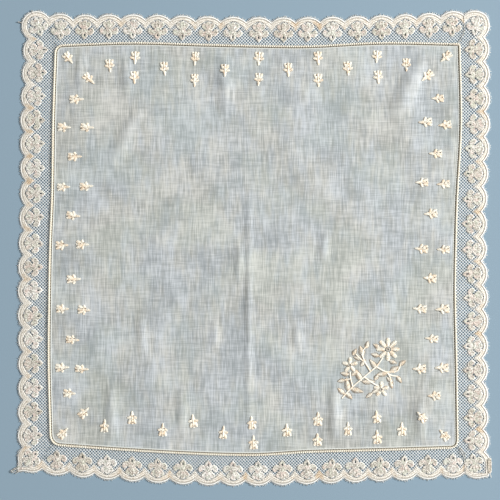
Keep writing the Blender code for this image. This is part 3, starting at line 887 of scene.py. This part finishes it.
# The net: a square step holds two of its diamonds, and each has one of the half widths of thread
NET_STEP = 2.35
NET_UNDER = 0.22
NET_THICK = 0.3
NET_UNDERLAP = 0.8
NET_SEAM_EDGE = 0.5
NET_HALF_WIDTHS = (0.11, 0.125, 0.135, 0.15)
# What the net leaves free under a motif
MOTIF_OUTLINE = both_sides((
    (0.0, 4.3), (3.3, 5.4), (4.4, 7.3), (3.4, 9.0), (2.6, 10.3), (3.4, 11.7), (4.4, 10.6), (5.5, 10.0),
    (6.9, 12.0), (5.1, 14.4), (2.3, 14.6), (1.9, 15.6), (1.4, 16.8), (0.0, 18.0),
))


def flat_areas(outlines):
    """Polygons of the plane that points can be tested against."""
    corners = []
    faces = []
    for outline in outlines:
        faces.append(range(len(corners), len(corners) + len(outline)))
        corners += [(x, y, 0.0) for x, y in outline]
    return BVHTree.FromPolygons(corners, faces)


def motif_areas(motifs):
    """The polygons that the net leaves free under the motifs."""
    return flat_areas([
        [turned(x, y, motif.tip, motif.heading + 180.0) for x, y in MOTIF_OUTLINE] for motif in motifs
    ])


def inside(areas, x, y):
    """Whether a point lies inside one of the polygons."""
    return areas.ray_cast(Vector((x, y, 1.0)), Vector((0.0, 0.0, -1.0)))[0] is not None


def distance_to(areas, x, y):
    """How far a point lies outside the nearest polygon, or 0 inside it."""
    return areas.find_nearest(Vector((x, y, 0.0)))[3]


def net_shape(ground, motif_area):
    """The diamond net over a polygon of the plane, but not under the motifs, as its own shape."""
    xs, ys = zip(*ground)
    low = (math.floor(min(xs) / NET_STEP) - 1, math.floor(min(ys) / NET_STEP) - 1)
    high = (math.ceil(max(xs) / NET_STEP) + 1, math.ceil(max(ys) / NET_STEP) + 1)
    area = flat_areas([ground])
    shape = bmesh.new()

    def put(column, row):
        return ((low[0] + column) * NET_STEP, (low[1] + row) * NET_STEP, 0.0)

    lay_grid(shape, high[0] - low[0] + 1, high[1] - low[1] + 1, put)
    far = [
        face for face in shape.faces
        if distance_to(area, *face.calc_center_median().xy) > NET_STEP + NET_UNDERLAP
    ]
    bmesh.ops.delete(shape, geom=far, context="FACES")
    # each square is cut from its middle to its corners, and joined over its sides they are diamonds
    squares = shape.edges[:]
    bmesh.ops.poke(shape, faces=shape.faces[:])
    inner_edges = [edge for edge in squares if edge.is_valid and len(edge.link_faces) == 2]
    bmesh.ops.dissolve_edges(shape, edges=inner_edges, use_verts=False)
    for vert in shape.verts:
        x, y, _ = vert.co
        vert.co = (x + rippled(x, y, NET_SWAYS[0]), y + rippled(x, y, NET_SWAYS[1]), 0.0)
    hidden = []
    for face in shape.faces:
        if len(face.verts) != 4 or distance_to(area, *face.calc_center_median().xy) > NET_UNDERLAP:
            hidden.append(face)
        elif all(inside(motif_area, vert.co.x, vert.co.y) for vert in face.verts):
            hidden.append(face)
    bmesh.ops.delete(shape, geom=hidden, context="FACES")
    diamonds = shape.faces[:]
    chance.shuffle(diamonds)
    for number, thickness in enumerate(NET_HALF_WIDTHS):
        faces = diamonds[number::len(NET_HALF_WIDTHS)]
        bmesh.ops.inset_individual(shape, faces=faces, thickness=thickness, use_even_offset=True)
    bmesh.ops.delete(shape, geom=diamonds, context="FACES_ONLY")
    for face in shape.faces:
        face.normal_update()
        if face.normal.z < 0:
            face.normal_flip()
    bmesh.ops.solidify(shape, geom=shape.faces[:], thickness=NET_THICK)
    lowest = min(vert.co.z for vert in shape.verts)
    for vert in shape.verts:
        vert.co = on_lace(vert.co.x, vert.co.y, vert.co.z + NET_UNDER - lowest)
    return shape


# Rows of small threads: the ragged loops along the outer edge, and the rungs to the rail inside
BeadRow = namedtuple("BeadRow", "spacing length breadth depth outwards height uneven")
PICOTS = BeadRow(0.98, 0.78, 0.2, 0.2, 0.42, 0.3, 0.6)
RUNGS = BeadRow(1.3, 0.6, 0.17, 0.15, 0.0, 0.48, 0.1)


def add_bead_row(shape, mesh, line, row):
    """A row of small beads along a line, each stretched across it."""
    left_over = 0.0
    for start, end in zip(line, line[1:]):
        way = end - start
        length = way.length
        way.normalize()
        out = Vector((-way.y, way.x))
        at = left_over
        while at < length:
            size = uneven(row.uneven)
            x, y = start + way * at + out * row.outwards * size
            tilt = Matrix.Rotation(chance.uniform(-row.uneven, row.uneven) / 2, 2)

            def put(point):
                spot = out * point.x * row.length * size + way * point.y * row.breadth
                spot.rotate(tilt)
                return (x + spot.x, y + spot.y, row.height + point.z * row.depth + lace_lift(x, y))

            mark(shape, stamp(shape, mesh, put), tone=1.0, across=1.0)
            at += row.spacing * (1 + chance.uniform(-row.uneven, row.uneven) / 3)
        left_over = at - length


def bead_mesh():
    """A ball of few faces, for rows of hundreds."""
    shape = numbered("tone", "across")
    bmesh.ops.create_icosphere(shape, subdivisions=1, radius=1)
    return as_mesh(shape, "bead")


# The threads that show where lengths of lace are joined, and the loose ends at the corners, each by
# its lace, its points, its half width, how ivory it is and its height
Strand = namedtuple("Strand", "side points breadth tone height", defaults=(0.72,))
STRANDS = (
    Strand("right", ((157.1, 174.2), (157.3, 167.0), (156.5, 160.0), (152.6, 153.8)), 0.24, 0.9),
    Strand("right", ((145.8, 152.5), (149.0, 152.3), (152.4, 152.0)), 0.5, 0.0, 1.5),
    Strand("right", ((157.5, -167.6), (157.6, -161.5), (156.3, -155.2), (153.2, -149.4)), 0.26, 0.9),
    Strand("right", ((158.7, -167.0), (158.8, -161.2), (157.5, -154.8), (154.5, -149.8)), 0.2, 0.4),
    Strand("right", ((176.4, -168.2), (176.9, -170.0), (177.4, -172.0)), 0.3, 1.0),
    Strand("left", ((-173.2, 168.6), (-175.0, 169.0), (-177.3, 169.6)), 0.36, 0.9),
    Strand("left", ((-166.2, 175.4), (-166.7, 176.9), (-167.0, 178.2)), 0.32, 0.9),
    Strand("left", ((-174.0, -163.3), (-178.0, -164.2), (-183.0, -167.4)), 0.34, 1.0),
    Strand("left", ((-174.0, -164.0), (-178.6, -165.6), (-182.4, -168.2)), 0.32, 0.8),
    Strand("left", ((-174.2, -164.8), (-177.6, -166.8), (-181.4, -168.6)), 0.3, 0.9),
    Strand("left", ((-174.2, -165.6), (-176.8, -167.6), (-179.4, -169.2)), 0.28, 0.7),
)
STRAND_STEP = 0.8
# Half the length of the beads that a strand is made of, which overlap
STRAND_HALF_LENGTH = 0.84
# The end of the lace that is turned up at the lower right, and how high it lies
TURNED_END = ((175.0, -158.0), (177.4, -157.6), (177.7, -163.0), (177.6, -168.4), (175.2, -168.8),
              (174.8, -163.0))
TURNED_LIFT = 0.6


def add_strands(shape, bead, side):
    """The joining threads and loose ends of one length of lace."""
    for strand in STRANDS:
        if strand.side != side:
            continue
        line = open_line(strand.points, STRAND_STEP)
        size = (STRAND_HALF_LENGTH, strand.breadth, strand.breadth)
        for start, end in zip(line, line[1:]):
            middle = (start + end) / 2
            height = strand.height + lace_lift(*middle)
            added = add_stitch(shape, bead, middle, (end - start).normalized(), size, height)
            mark(shape, added, tone=strand.tone)


# How far apart the seam line's points are
SEAM_SPACING = 1.25


def seam_ring():
    """The closed seam line, clockwise from the top left, and the middle of each corner's turn."""
    points = []
    middles = {}
    for side, before, after in CLOCKWISE:
        start = meeting(side, before)
        finish = meeting(side, after)
        way = math.copysign(1.0, finish - start)
        start += way * corner_of(side, before).seam_round
        finish -= way * corner_of(side, after).seam_round
        steps = round(abs(finish - start) / SEAM_SPACING)
        for step in range(steps + 1):
            along = start + (finish - start) * step / steps
            points.append(Vector(place(side, along, seam_reach(side, along))))
        corner = seam_corner(side, after)
        back = meeting(after, side)
        back -= math.copysign(corner_of(side, after).seam_round, back)
        end = Vector(place(after, back, seam_reach(after, back)))
        begin = points[-1]
        turn_steps = max(4, round((begin - end).length / SEAM_SPACING) // 2 * 2)
        for step in range(1, turn_steps):
            t = step / turn_steps
            points.append((1 - t) ** 2 * begin + 2 * t * (1 - t) * corner + t**2 * end)
            if step == turn_steps // 2:
                middles[(side, after)] = len(points) - 1
    return points, middles


def outward(ring, index):
    """The direction out of a closed clockwise ring at one of its points."""
    way = (ring[(index + 1) % len(ring)] - ring[index - 1]).normalized()
    return Vector((-way.y, way.x))


# How far outwards the joins between lengths of lace bend
JOIN_BEND = 2.0


def build_lace(side, before, after, ring, middles, materials, motif, bead):
    """One length of the lace: its border, its motifs, its small threads and its net."""
    corners = (corner_of(side, before), corner_of(side, after))
    stations = stations_along(scallops_of(side, *corners))
    first = middles[(before, side)]
    count = (middles[(side, after)] - first) % len(ring)
    seam = []
    for step in range(count + 1):
        index = (first + step) % len(ring)
        seam.append(ring[index] + outward(ring, index) * NET_SEAM_EDGE)
    joins = []
    for end in (0, -1):
        middle = (stations[end].outer + seam[end]) / 2
        middle.x += math.copysign(JOIN_BEND, middle.x)
        joins.append(middle)
    ground = [inside_border(station, RAIL_AT) for station in stations]
    ground = [stations[0].outer, *ground, stations[-1].outer, joins[1], *reversed(seam), joins[0]]
    motifs = motifs_of(side, corners)
    worked = numbered("tone", "across")
    add_motifs(worked, motifs, motif)
    add_strands(worked, bead, side)
    add_bead_row(worked, bead, [station.outer for station in stations], PICOTS)
    add_bead_row(worked, bead, [inside_border(station, RAIL_AT / 2) for station in stations], RUNGS)
    if side == "right":
        add_pad(worked, TURNED_END, TURNED_LIFT)
    parts = (border_shape(stations), worked, net_shape(ground, motif_areas(motifs)))
    shape = bmesh.new()
    for number, part in enumerate(parts):
        for face in part.faces:
            face.material_index = number
        shape.from_mesh(as_mesh(part, "lace_part"))
    return finished(f"lace_edging_{side}", shape, materials, f"lace_{side}")


# ---- The lawn and its hem

LAWN_STEPS = 170
LAWN_HALF = 152.0
# How far from a corner, by its rounding and beyond it, the trimming reaches, how far beyond its
# rounding the seam line's points cut it, and how far outside the seam line they cut
TRIM_SHARE = 1.3
TRIM_EXTRA = 3.0
TRIM_BEYOND = 0.5
TRIM_OUTSIDE = 0.1


def build_lawn(material, ring):
    """The square of lawn, mapped between its four seam lines, with its corners trimmed round."""
    shape = numbered("lifted")
    lifted = shape.verts.layers.float["lifted"]
    shares = [step / LAWN_STEPS for step in range(LAWN_STEPS + 1)]
    reaches = {
        side: [seam_reach(side, (2 * share - 1) * LAWN_HALF) for share in shares] for side in SIDES
    }

    def put(column, row):
        left, right = -reaches["left"][row], reaches["right"][row]
        low, high = -reaches["bottom"][column], reaches["top"][column]
        return (left + (right - left) * shares[column], low + (high - low) * shares[row], 0.0)

    lay_grid(shape, LAWN_STEPS + 1, LAWN_STEPS + 1, put)
    for side, before, _ in CLOCKWISE:
        turn = corner_of(side, before).seam_round
        middle = seam_corner(side, before)
        faces = [
            face for face in shape.faces
            if (face.calc_center_median().xy - middle).length < turn * TRIM_SHARE + TRIM_EXTRA
        ]
        verts = {vert for face in faces for vert in face.verts}
        trimmed = [*verts, *{edge for face in faces for edge in face.edges}, *faces]
        for index, point in enumerate(ring):
            if (point - middle).length < turn + TRIM_BEYOND:
                way = outward(ring, index)
                spot = point + way * TRIM_OUTSIDE
                trimmed = bmesh.ops.bisect_plane(
                    shape, geom=trimmed, clear_outer=True, plane_co=(*spot, 0.0), plane_no=(*way, 0.0),
                )["geom"]
    for vert in shape.verts:
        x, y, _ = vert.co
        vert.co.z = LAWN_UNDER + lawn_lift(x, y)
        vert[lifted] = fold_lift(x, y)
    bmesh.ops.recalc_face_normals(shape, faces=shape.faces[:])
    piece = finished("lawn_sheet", shape, [material], "lawn_ground")
    solid = piece.modifiers.new("thickness", "SOLIDIFY")
    solid.thickness = LAWN_THICK * METRES_PER_MM
    solid.offset = 1.0
    return piece


# The hem's section, by the distance inwards from the seam line, and the height over the lawn
HEM_SECTION = (
    (-0.6, -0.25), (-0.6, 0.25), (-0.3, 0.58), (0.15, 0.66), (0.55, 0.42), (0.85, 0.1), (1.2, 0.02),
    (1.5, 0.06), (1.75, 0.17), (2.05, 0.15), (2.3, 0.03), (2.35, -0.25),
)


def build_hem(material, ring):
    """The rolled edge of the lawn, a closed band all round it."""
    shape = numbered("across", "along")
    across = shape.verts.layers.float["across"]
    along = shape.verts.layers.float["along"]
    count = len(ring)

    def put(column, row):
        index = column % count
        distance, height = HEM_SECTION[row % len(HEM_SECTION)]
        return on_lawn(*(ring[index] - outward(ring, index) * distance), height)

    verts = lay_grid(shape, count + 1, len(HEM_SECTION) + 1, put)
    for index, vert in enumerate(verts):
        vert[across] = HEM_SECTION[index // (count + 1) % len(HEM_SECTION)][0]
        vert[along] = index % (count + 1) * SEAM_SPACING
    bmesh.ops.remove_doubles(shape, verts=verts, dist=SAME_POINT)
    bmesh.ops.recalc_face_normals(shape, faces=shape.faces[:])
    return finished("rolled_hem", shape, [material])


# The whip stitches: their half sizes, their slant in degrees, how far outside the seam line and how
# high over the lawn their middles are, and how uneven they are
WHIP_SPACING = 1.42
WHIP_SIZE = (0.9, 0.5, 0.42)
WHIP_SLANT = 32.0
WHIP_OUTSIDE = 0.05
WHIP_HEIGHT = 0.62
WHIP_SLANT_UNEVEN = 6.0
WHIP_SPACING_UNEVEN = 0.08


def small_ball(segments, rings):
    """A ball of radius one as a mesh, for stitches that are stretched from it."""
    shape = bmesh.new()
    bmesh.ops.create_uvsphere(shape, u_segments=segments, v_segments=rings, radius=1)
    return as_mesh(shape, "ball")


def add_stitch(shape, ball, middle, way, size, height):
    """One stitch: a ball stretched along a way, with its middle at a height."""
    side = Vector((-way.y, way.x))

    def put(point):
        spot = middle + way * point.x * size[0] + side * point.y * size[1]
        return (spot.x, spot.y, height + point.z * size[2])

    return stamp(shape, ball, put)


def build_whipping(material, ring, ball):
    """The slanted stitches over the rolled edge that hold the lace."""
    shape = numbered("shade")
    carry = 0.0
    for index, start in enumerate(ring):
        end = ring[(index + 1) % len(ring)]
        length = (end - start).length
        out = outward(ring, index)
        while carry < length:
            middle = start.lerp(end, carry / length) + out * WHIP_OUTSIDE
            slant = WHIP_SLANT + chance.uniform(-WHIP_SLANT_UNEVEN, WHIP_SLANT_UNEVEN)
            way = (Matrix.Rotation(math.radians(slant), 2) @ out).normalized()
            add_stitch(shape, ball, middle, way, WHIP_SIZE, on_lawn(*middle, WHIP_HEIGHT)[2])
            carry += WHIP_SPACING * uneven(WHIP_SPACING_UNEVEN)
        carry -= length
    return finished("whip_stitches", shape, [material])


# ---- The embroidery

# A sprig's satin-stitched parts: the middle and heading of its row of stitches, the length of the
# row, the stitches' half-lengths from tail to head, and how high the row is padded
SatinRow = namedtuple("SatinRow", "x y heading length half_widths pad")
SPRIG_ROW_SET = (
    SatinRow(0.0, 1.1, 0.0, 7.0, (1.3, 2.5, 2.7, 2.3, 1.3), 0.3),
    SatinRow(1.6, 2.4, 24.0, 4.4, (0.8, 1.4, 1.55, 1.3, 0.8), 0.55),
    SatinRow(-1.6, 2.4, -24.0, 4.4, (0.8, 1.4, 1.55, 1.3, 0.8), 0.55),
    SatinRow(2.0, -0.4, 68.0, 3.2, (0.9, 1.25, 1.3, 0.9), 0.5),
    SatinRow(-2.0, -0.4, -68.0, 3.2, (0.9, 1.25, 1.3, 0.9), 0.5),
    SatinRow(0.0, 1.5, 0.0, 6.6, (0.6, 0.7, 0.8, 0.75, 0.5), 0.72),
    SatinRow(0.0, -3.4, 180.0, 3.6, (1.45, 1.35, 1.05, 0.55), 0.6),
)
# The small deep places between a sprig's parts, of which each form of it has some: dark balls there paint
# their shade
SPRIG_HOLLOWS = ((0.95, 0.9), (-0.95, 0.9), (0.9, 3.6), (-0.9, 3.6), (1.3, -1.6), (-1.3, -1.6))
HOLLOWS_SHOWN = 3
HOLLOW_SIZE = (0.46, 0.46, 0.62)
HOLLOW_HEIGHT = 0.35
HOLLOW_SHADE = 0.8
# The satin stitches: how close they lie, their half thickness, how many degrees they are turned at
# most, the shares of a row between which its padding falls off, and how deep and how high they lie
# by their row's padding
SATIN_SPACING = 0.45
SATIN_THICK = 0.28
SATIN_TURN = 5.0
SATIN_ENDS = (0.12, 0.88)
SATIN_DEPTH = 0.8
SATIN_HEIGHT = 0.3
SIDEWAYS = Vector((1.0, 0.0))


def width_at(half_widths, share):
    """The half-width of a satin row at a share of its length."""
    spot = share * (len(half_widths) - 1)
    index = min(int(spot), len(half_widths) - 2)
    t = spot - index
    return half_widths[index] * (1 - t) + half_widths[index + 1] * t


def ways_of(heading):
    """The directions forwards and across at a heading."""
    forward = Vector(turned(0.0, 1.0, (0.0, 0.0), heading))
    return forward, Vector((-forward.y, forward.x))


def add_satin(shape, ball, row):
    """A row of satin stitches side by side, higher and longer in the middle."""
    count = max(3, round(row.length / SATIN_SPACING))
    forward, across = ways_of(90.0 - row.heading)
    for number in range(count):
        share = (number + 0.5) / count
        middle = Vector((row.x, row.y)) + forward * (share - 0.5) * row.length
        half = width_at(row.half_widths, share)
        pad = row.pad * math.sin(math.pi * min(max(share, SATIN_ENDS[0]), SATIN_ENDS[1])) ** 0.5
        turn = Matrix.Rotation(math.radians(chance.uniform(-SATIN_TURN, SATIN_TURN)), 2)
        size = (half, SATIN_THICK, pad * SATIN_DEPTH)
        add_stitch(shape, ball, middle, (turn @ across).normalized(), size, pad * SATIN_HEIGHT)


def sprig_mesh(ball):
    """One sprig, with its head forwards and dark balls as painted shade in the hollows between its parts.
    """
    shape = numbered("shade")
    for row in SPRIG_ROW_SET:
        add_satin(shape, ball, row)
    for hollow in chance.sample(SPRIG_HOLLOWS, HOLLOWS_SHOWN):
        added = add_stitch(shape, ball, Vector(hollow), SIDEWAYS, HOLLOW_SIZE, HOLLOW_HEIGHT)
        mark(shape, added, shade=HOLLOW_SHADE)
    return as_mesh(shape, "sprig")


# How many forms of the sprig there are, and how each sprig differs: by its turn in degrees, its
# width, and its least and most in height
SPRIG_VARIANTS = 4
SPRIG_TURN = 6.0
SPRIG_WIDTH_UNEVEN = 0.1
SPRIG_TALLNESS = (-0.06, 0.08)


def build_sprigs(material, ball):
    """All the sprigs of the lawn, no two quite alike."""
    variants = [sprig_mesh(ball) for _ in range(SPRIG_VARIANTS)]
    shape = numbered("shade")
    for number, sprig in enumerate(sprigs()):
        heading = sprig.heading + chance.uniform(-SPRIG_TURN, SPRIG_TURN)
        wide = uneven(SPRIG_WIDTH_UNEVEN)
        tall = 1 + chance.uniform(*SPRIG_TALLNESS)

        def put(point):
            return on_lawn(*turned(point.x * wide, point.y * tall, (sprig.x, sprig.y), heading), point.z)

        stamp(shape, variants[number % SPRIG_VARIANTS], put)
    return finished("sprigs", shape, [material])


# The spray's leaves and petals are a little wider than the solid's; their half widths from tail to
# head are shares of their half width
SPRAY_FULLNESS = 1.12
LEAF_SHARES = (0.8, 1.0, 0.85, 0.5)
LEAF_TIPS = (0.3, 0.25)
PETAL_SHARES = (0.55, 0.85, 1.0, 0.95, 0.6)
PETAL_PAD = 0.65
LEAF_PAD = 0.55
LEAF_SHADE = 0.12
# The fine line of stitches round each leaf, darkened towards brown as a painted shadow line
LINE_STEP = 0.75
LINE_SHADE = 0.7
LINE_SIZE = (0.55, 0.17, 0.16)
LINE_HEIGHT = 0.1
LINE_CLEAR = 0.12
# The knots in a flower's heart, on a ring round its middle, and the stems' slanted stitches
KNOTS = 7
KNOT_RING = 1.1
KNOT_SIZE = (0.5, 0.5, 0.45)
KNOT_HEIGHT = 0.5
STEM_SIZE = (0.9, 0.55, 0.45)
STEM_HEIGHT = 0.25
STEM_SLANT = 22.0


def add_line(shape, ball, line, size, height, slant=0.0):
    """Stitches one after another along a line, each turned by a slant."""
    added = []
    for start, end in zip(line, line[1:]):
        way = Matrix.Rotation(math.radians(slant), 2) @ (end - start).normalized()
        added += add_stitch(shape, ball, (start + end) / 2, way.normalized(), size, height)
    return added


def leaf_row(leaf):
    """A leaf's row of satin stitches."""
    half = leaf.width / 2 * SPRAY_FULLNESS
    widths = (LEAF_TIPS[0], *(half * share for share in LEAF_SHARES), LEAF_TIPS[1])
    return SatinRow(leaf.x, leaf.y, 90.0 - leaf.heading, leaf.length, widths, LEAF_PAD)


def leaf_outline(leaf):
    """A closed line close round a leaf, in steps of about one stitch."""
    widths = leaf_row(leaf).half_widths
    forward, across = ways_of(leaf.heading)
    steps = max(6, round(leaf.length / LINE_STEP))
    sides = []
    for way in (across, -across):
        sides.append([
            Vector((leaf.x, leaf.y)) + forward * (step / steps - 0.5) * leaf.length
            + way * (width_at(widths, step / steps) + LINE_CLEAR)
            for step in range(steps + 1)
        ])
    return [*sides[0], *reversed(sides[1]), sides[0][0]]


def build_spray(material, ball):
    """The flower spray: satin-stitched leaves and petals on stitched stems, with knotted hearts."""
    shape = numbered("shade")
    for leaf in SPRAY_LEAVES + SPRAY_SMALL_LEAVES:
        first = len(shape.verts)
        add_satin(shape, ball, leaf_row(leaf))
        shape.verts.ensure_lookup_table()
        mark(shape, shape.verts[first:], shade=LEAF_SHADE)
        added = add_line(shape, ball, leaf_outline(leaf), LINE_SIZE, LINE_HEIGHT)
        # painted shadow: the stitched line round each leaf is darkened
        mark(shape, added, shade=LINE_SHADE)
    for flower in SPRAY_FLOWERS:
        spot = (flower.x, flower.y)
        widths = [flower.width / 2 * SPRAY_FULLNESS * share for share in PETAL_SHARES]
        for number in range(flower.petals):
            heading = 90.0 + 360.0 * number / flower.petals
            x, y = turned(0.0, flower.reach, spot, heading)
            add_satin(shape, ball, SatinRow(x, y, 90.0 - heading, flower.length, widths, PETAL_PAD))
        for number in range(KNOTS):
            middle = Vector(turned(0.0, KNOT_RING, spot, 360.0 / KNOTS * number))
            added = add_stitch(shape, ball, middle, SIDEWAYS, KNOT_SIZE, KNOT_HEIGHT)
            mark(shape, added, shade=LINE_SHADE / 2)
    for stem in SPRAY_STEMS:
        add_line(shape, ball, open_line(stem, LINE_STEP), STEM_SIZE, STEM_HEIGHT, STEM_SLANT)
    for vert in shape.verts:
        x, y, z = vert.co
        vert.co = on_lawn(SPRAY_MIDDLE[0] + x, SPRAY_MIDDLE[1] + y, z)
    return finished("flower_spray", shape, [material])


# ---- The studio: places and sizes in metres, the lens and its sensor in millimetres

FLOOR_HALF = 3.0
FLOOR_COLOUR = rgb(136, 157, 171)
Lamp = namedtuple("Lamp", "name spot size power")
LAMPS = (
    Lamp("key", (3.0, 0.7, 1.8), 0.9, 214.0),
    Lamp("fill", (-1.6, -1.2, 3.6), 3.2, 22.0),
)
WORLD_LIGHT = 0.26
CAMERA_LENS = 200.0
CAMERA_SENSOR = 36.0
CAMERA_OVER = (-0.003375, -0.0015)
WIDTH_SEEN = 0.375


def build_studio():
    """A plain pale floor, a soft key light from the right, a fill, and the camera straight above."""
    shape = bmesh.new()
    bmesh.ops.create_grid(shape, x_segments=1, y_segments=1, size=FLOOR_HALF)
    mesh = as_mesh(shape, "floor")
    floor = placed("floor", mesh)
    finish = Finish("floor_paper", 0.9)
    finish.shader.inputs["Base Color"].default_value = FLOOR_COLOUR
    mesh.materials.append(finish.material)

    for name, spot, size, power in LAMPS:
        light = bpy.data.lights.new(name, "AREA")
        light.shape = "DISK"
        light.size = size
        light.energy = power
        lamp = placed(name, light)
        lamp.location = spot
        lamp.rotation_euler = (-Vector(spot)).to_track_quat("-Z", "Y").to_euler()

    world = bpy.data.worlds.new("studio")
    world.use_nodes = True
    background = world.node_tree.nodes["Background"]
    background.inputs["Color"].default_value = (1.0, 1.0, 1.0, 1.0)
    background.inputs["Strength"].default_value = WORLD_LIGHT
    bpy.context.scene.world = world
    # whites and shades stay as clear as in the photograph
    bpy.context.scene.view_settings.view_transform = "Standard"

    view = bpy.data.cameras.new("camera")
    view.lens = CAMERA_LENS
    view.sensor_width = CAMERA_SENSOR
    camera = placed("camera", view)
    camera.location = (*CAMERA_OVER, WIDTH_SEEN * CAMERA_LENS / CAMERA_SENSOR)
    bpy.context.scene.camera = camera


def main():
    build_studio()
    ring, middles = seam_ring()
    lace_materials = [border_finish(), clothwork_finish(), net_finish()]
    thread = thread_finish("embroidery_thread", 2.2, 0.8)
    ball = small_ball(6, 4)
    motif = motif_mesh()
    bead = bead_mesh()
    lawn = build_lawn(lawn_finish(), ring)
    hem = build_hem(hem_finish(), ring)
    whipping = build_whipping(thread_finish("whip_thread", 7.0, 0.35), ring, ball)
    all_sprigs = build_sprigs(thread, ball)
    spray = build_spray(thread, ball)
    for side, before, after in CLOCKWISE:
        lace = build_lace(side, before, after, ring, middles, lace_materials, motif, bead)


main()
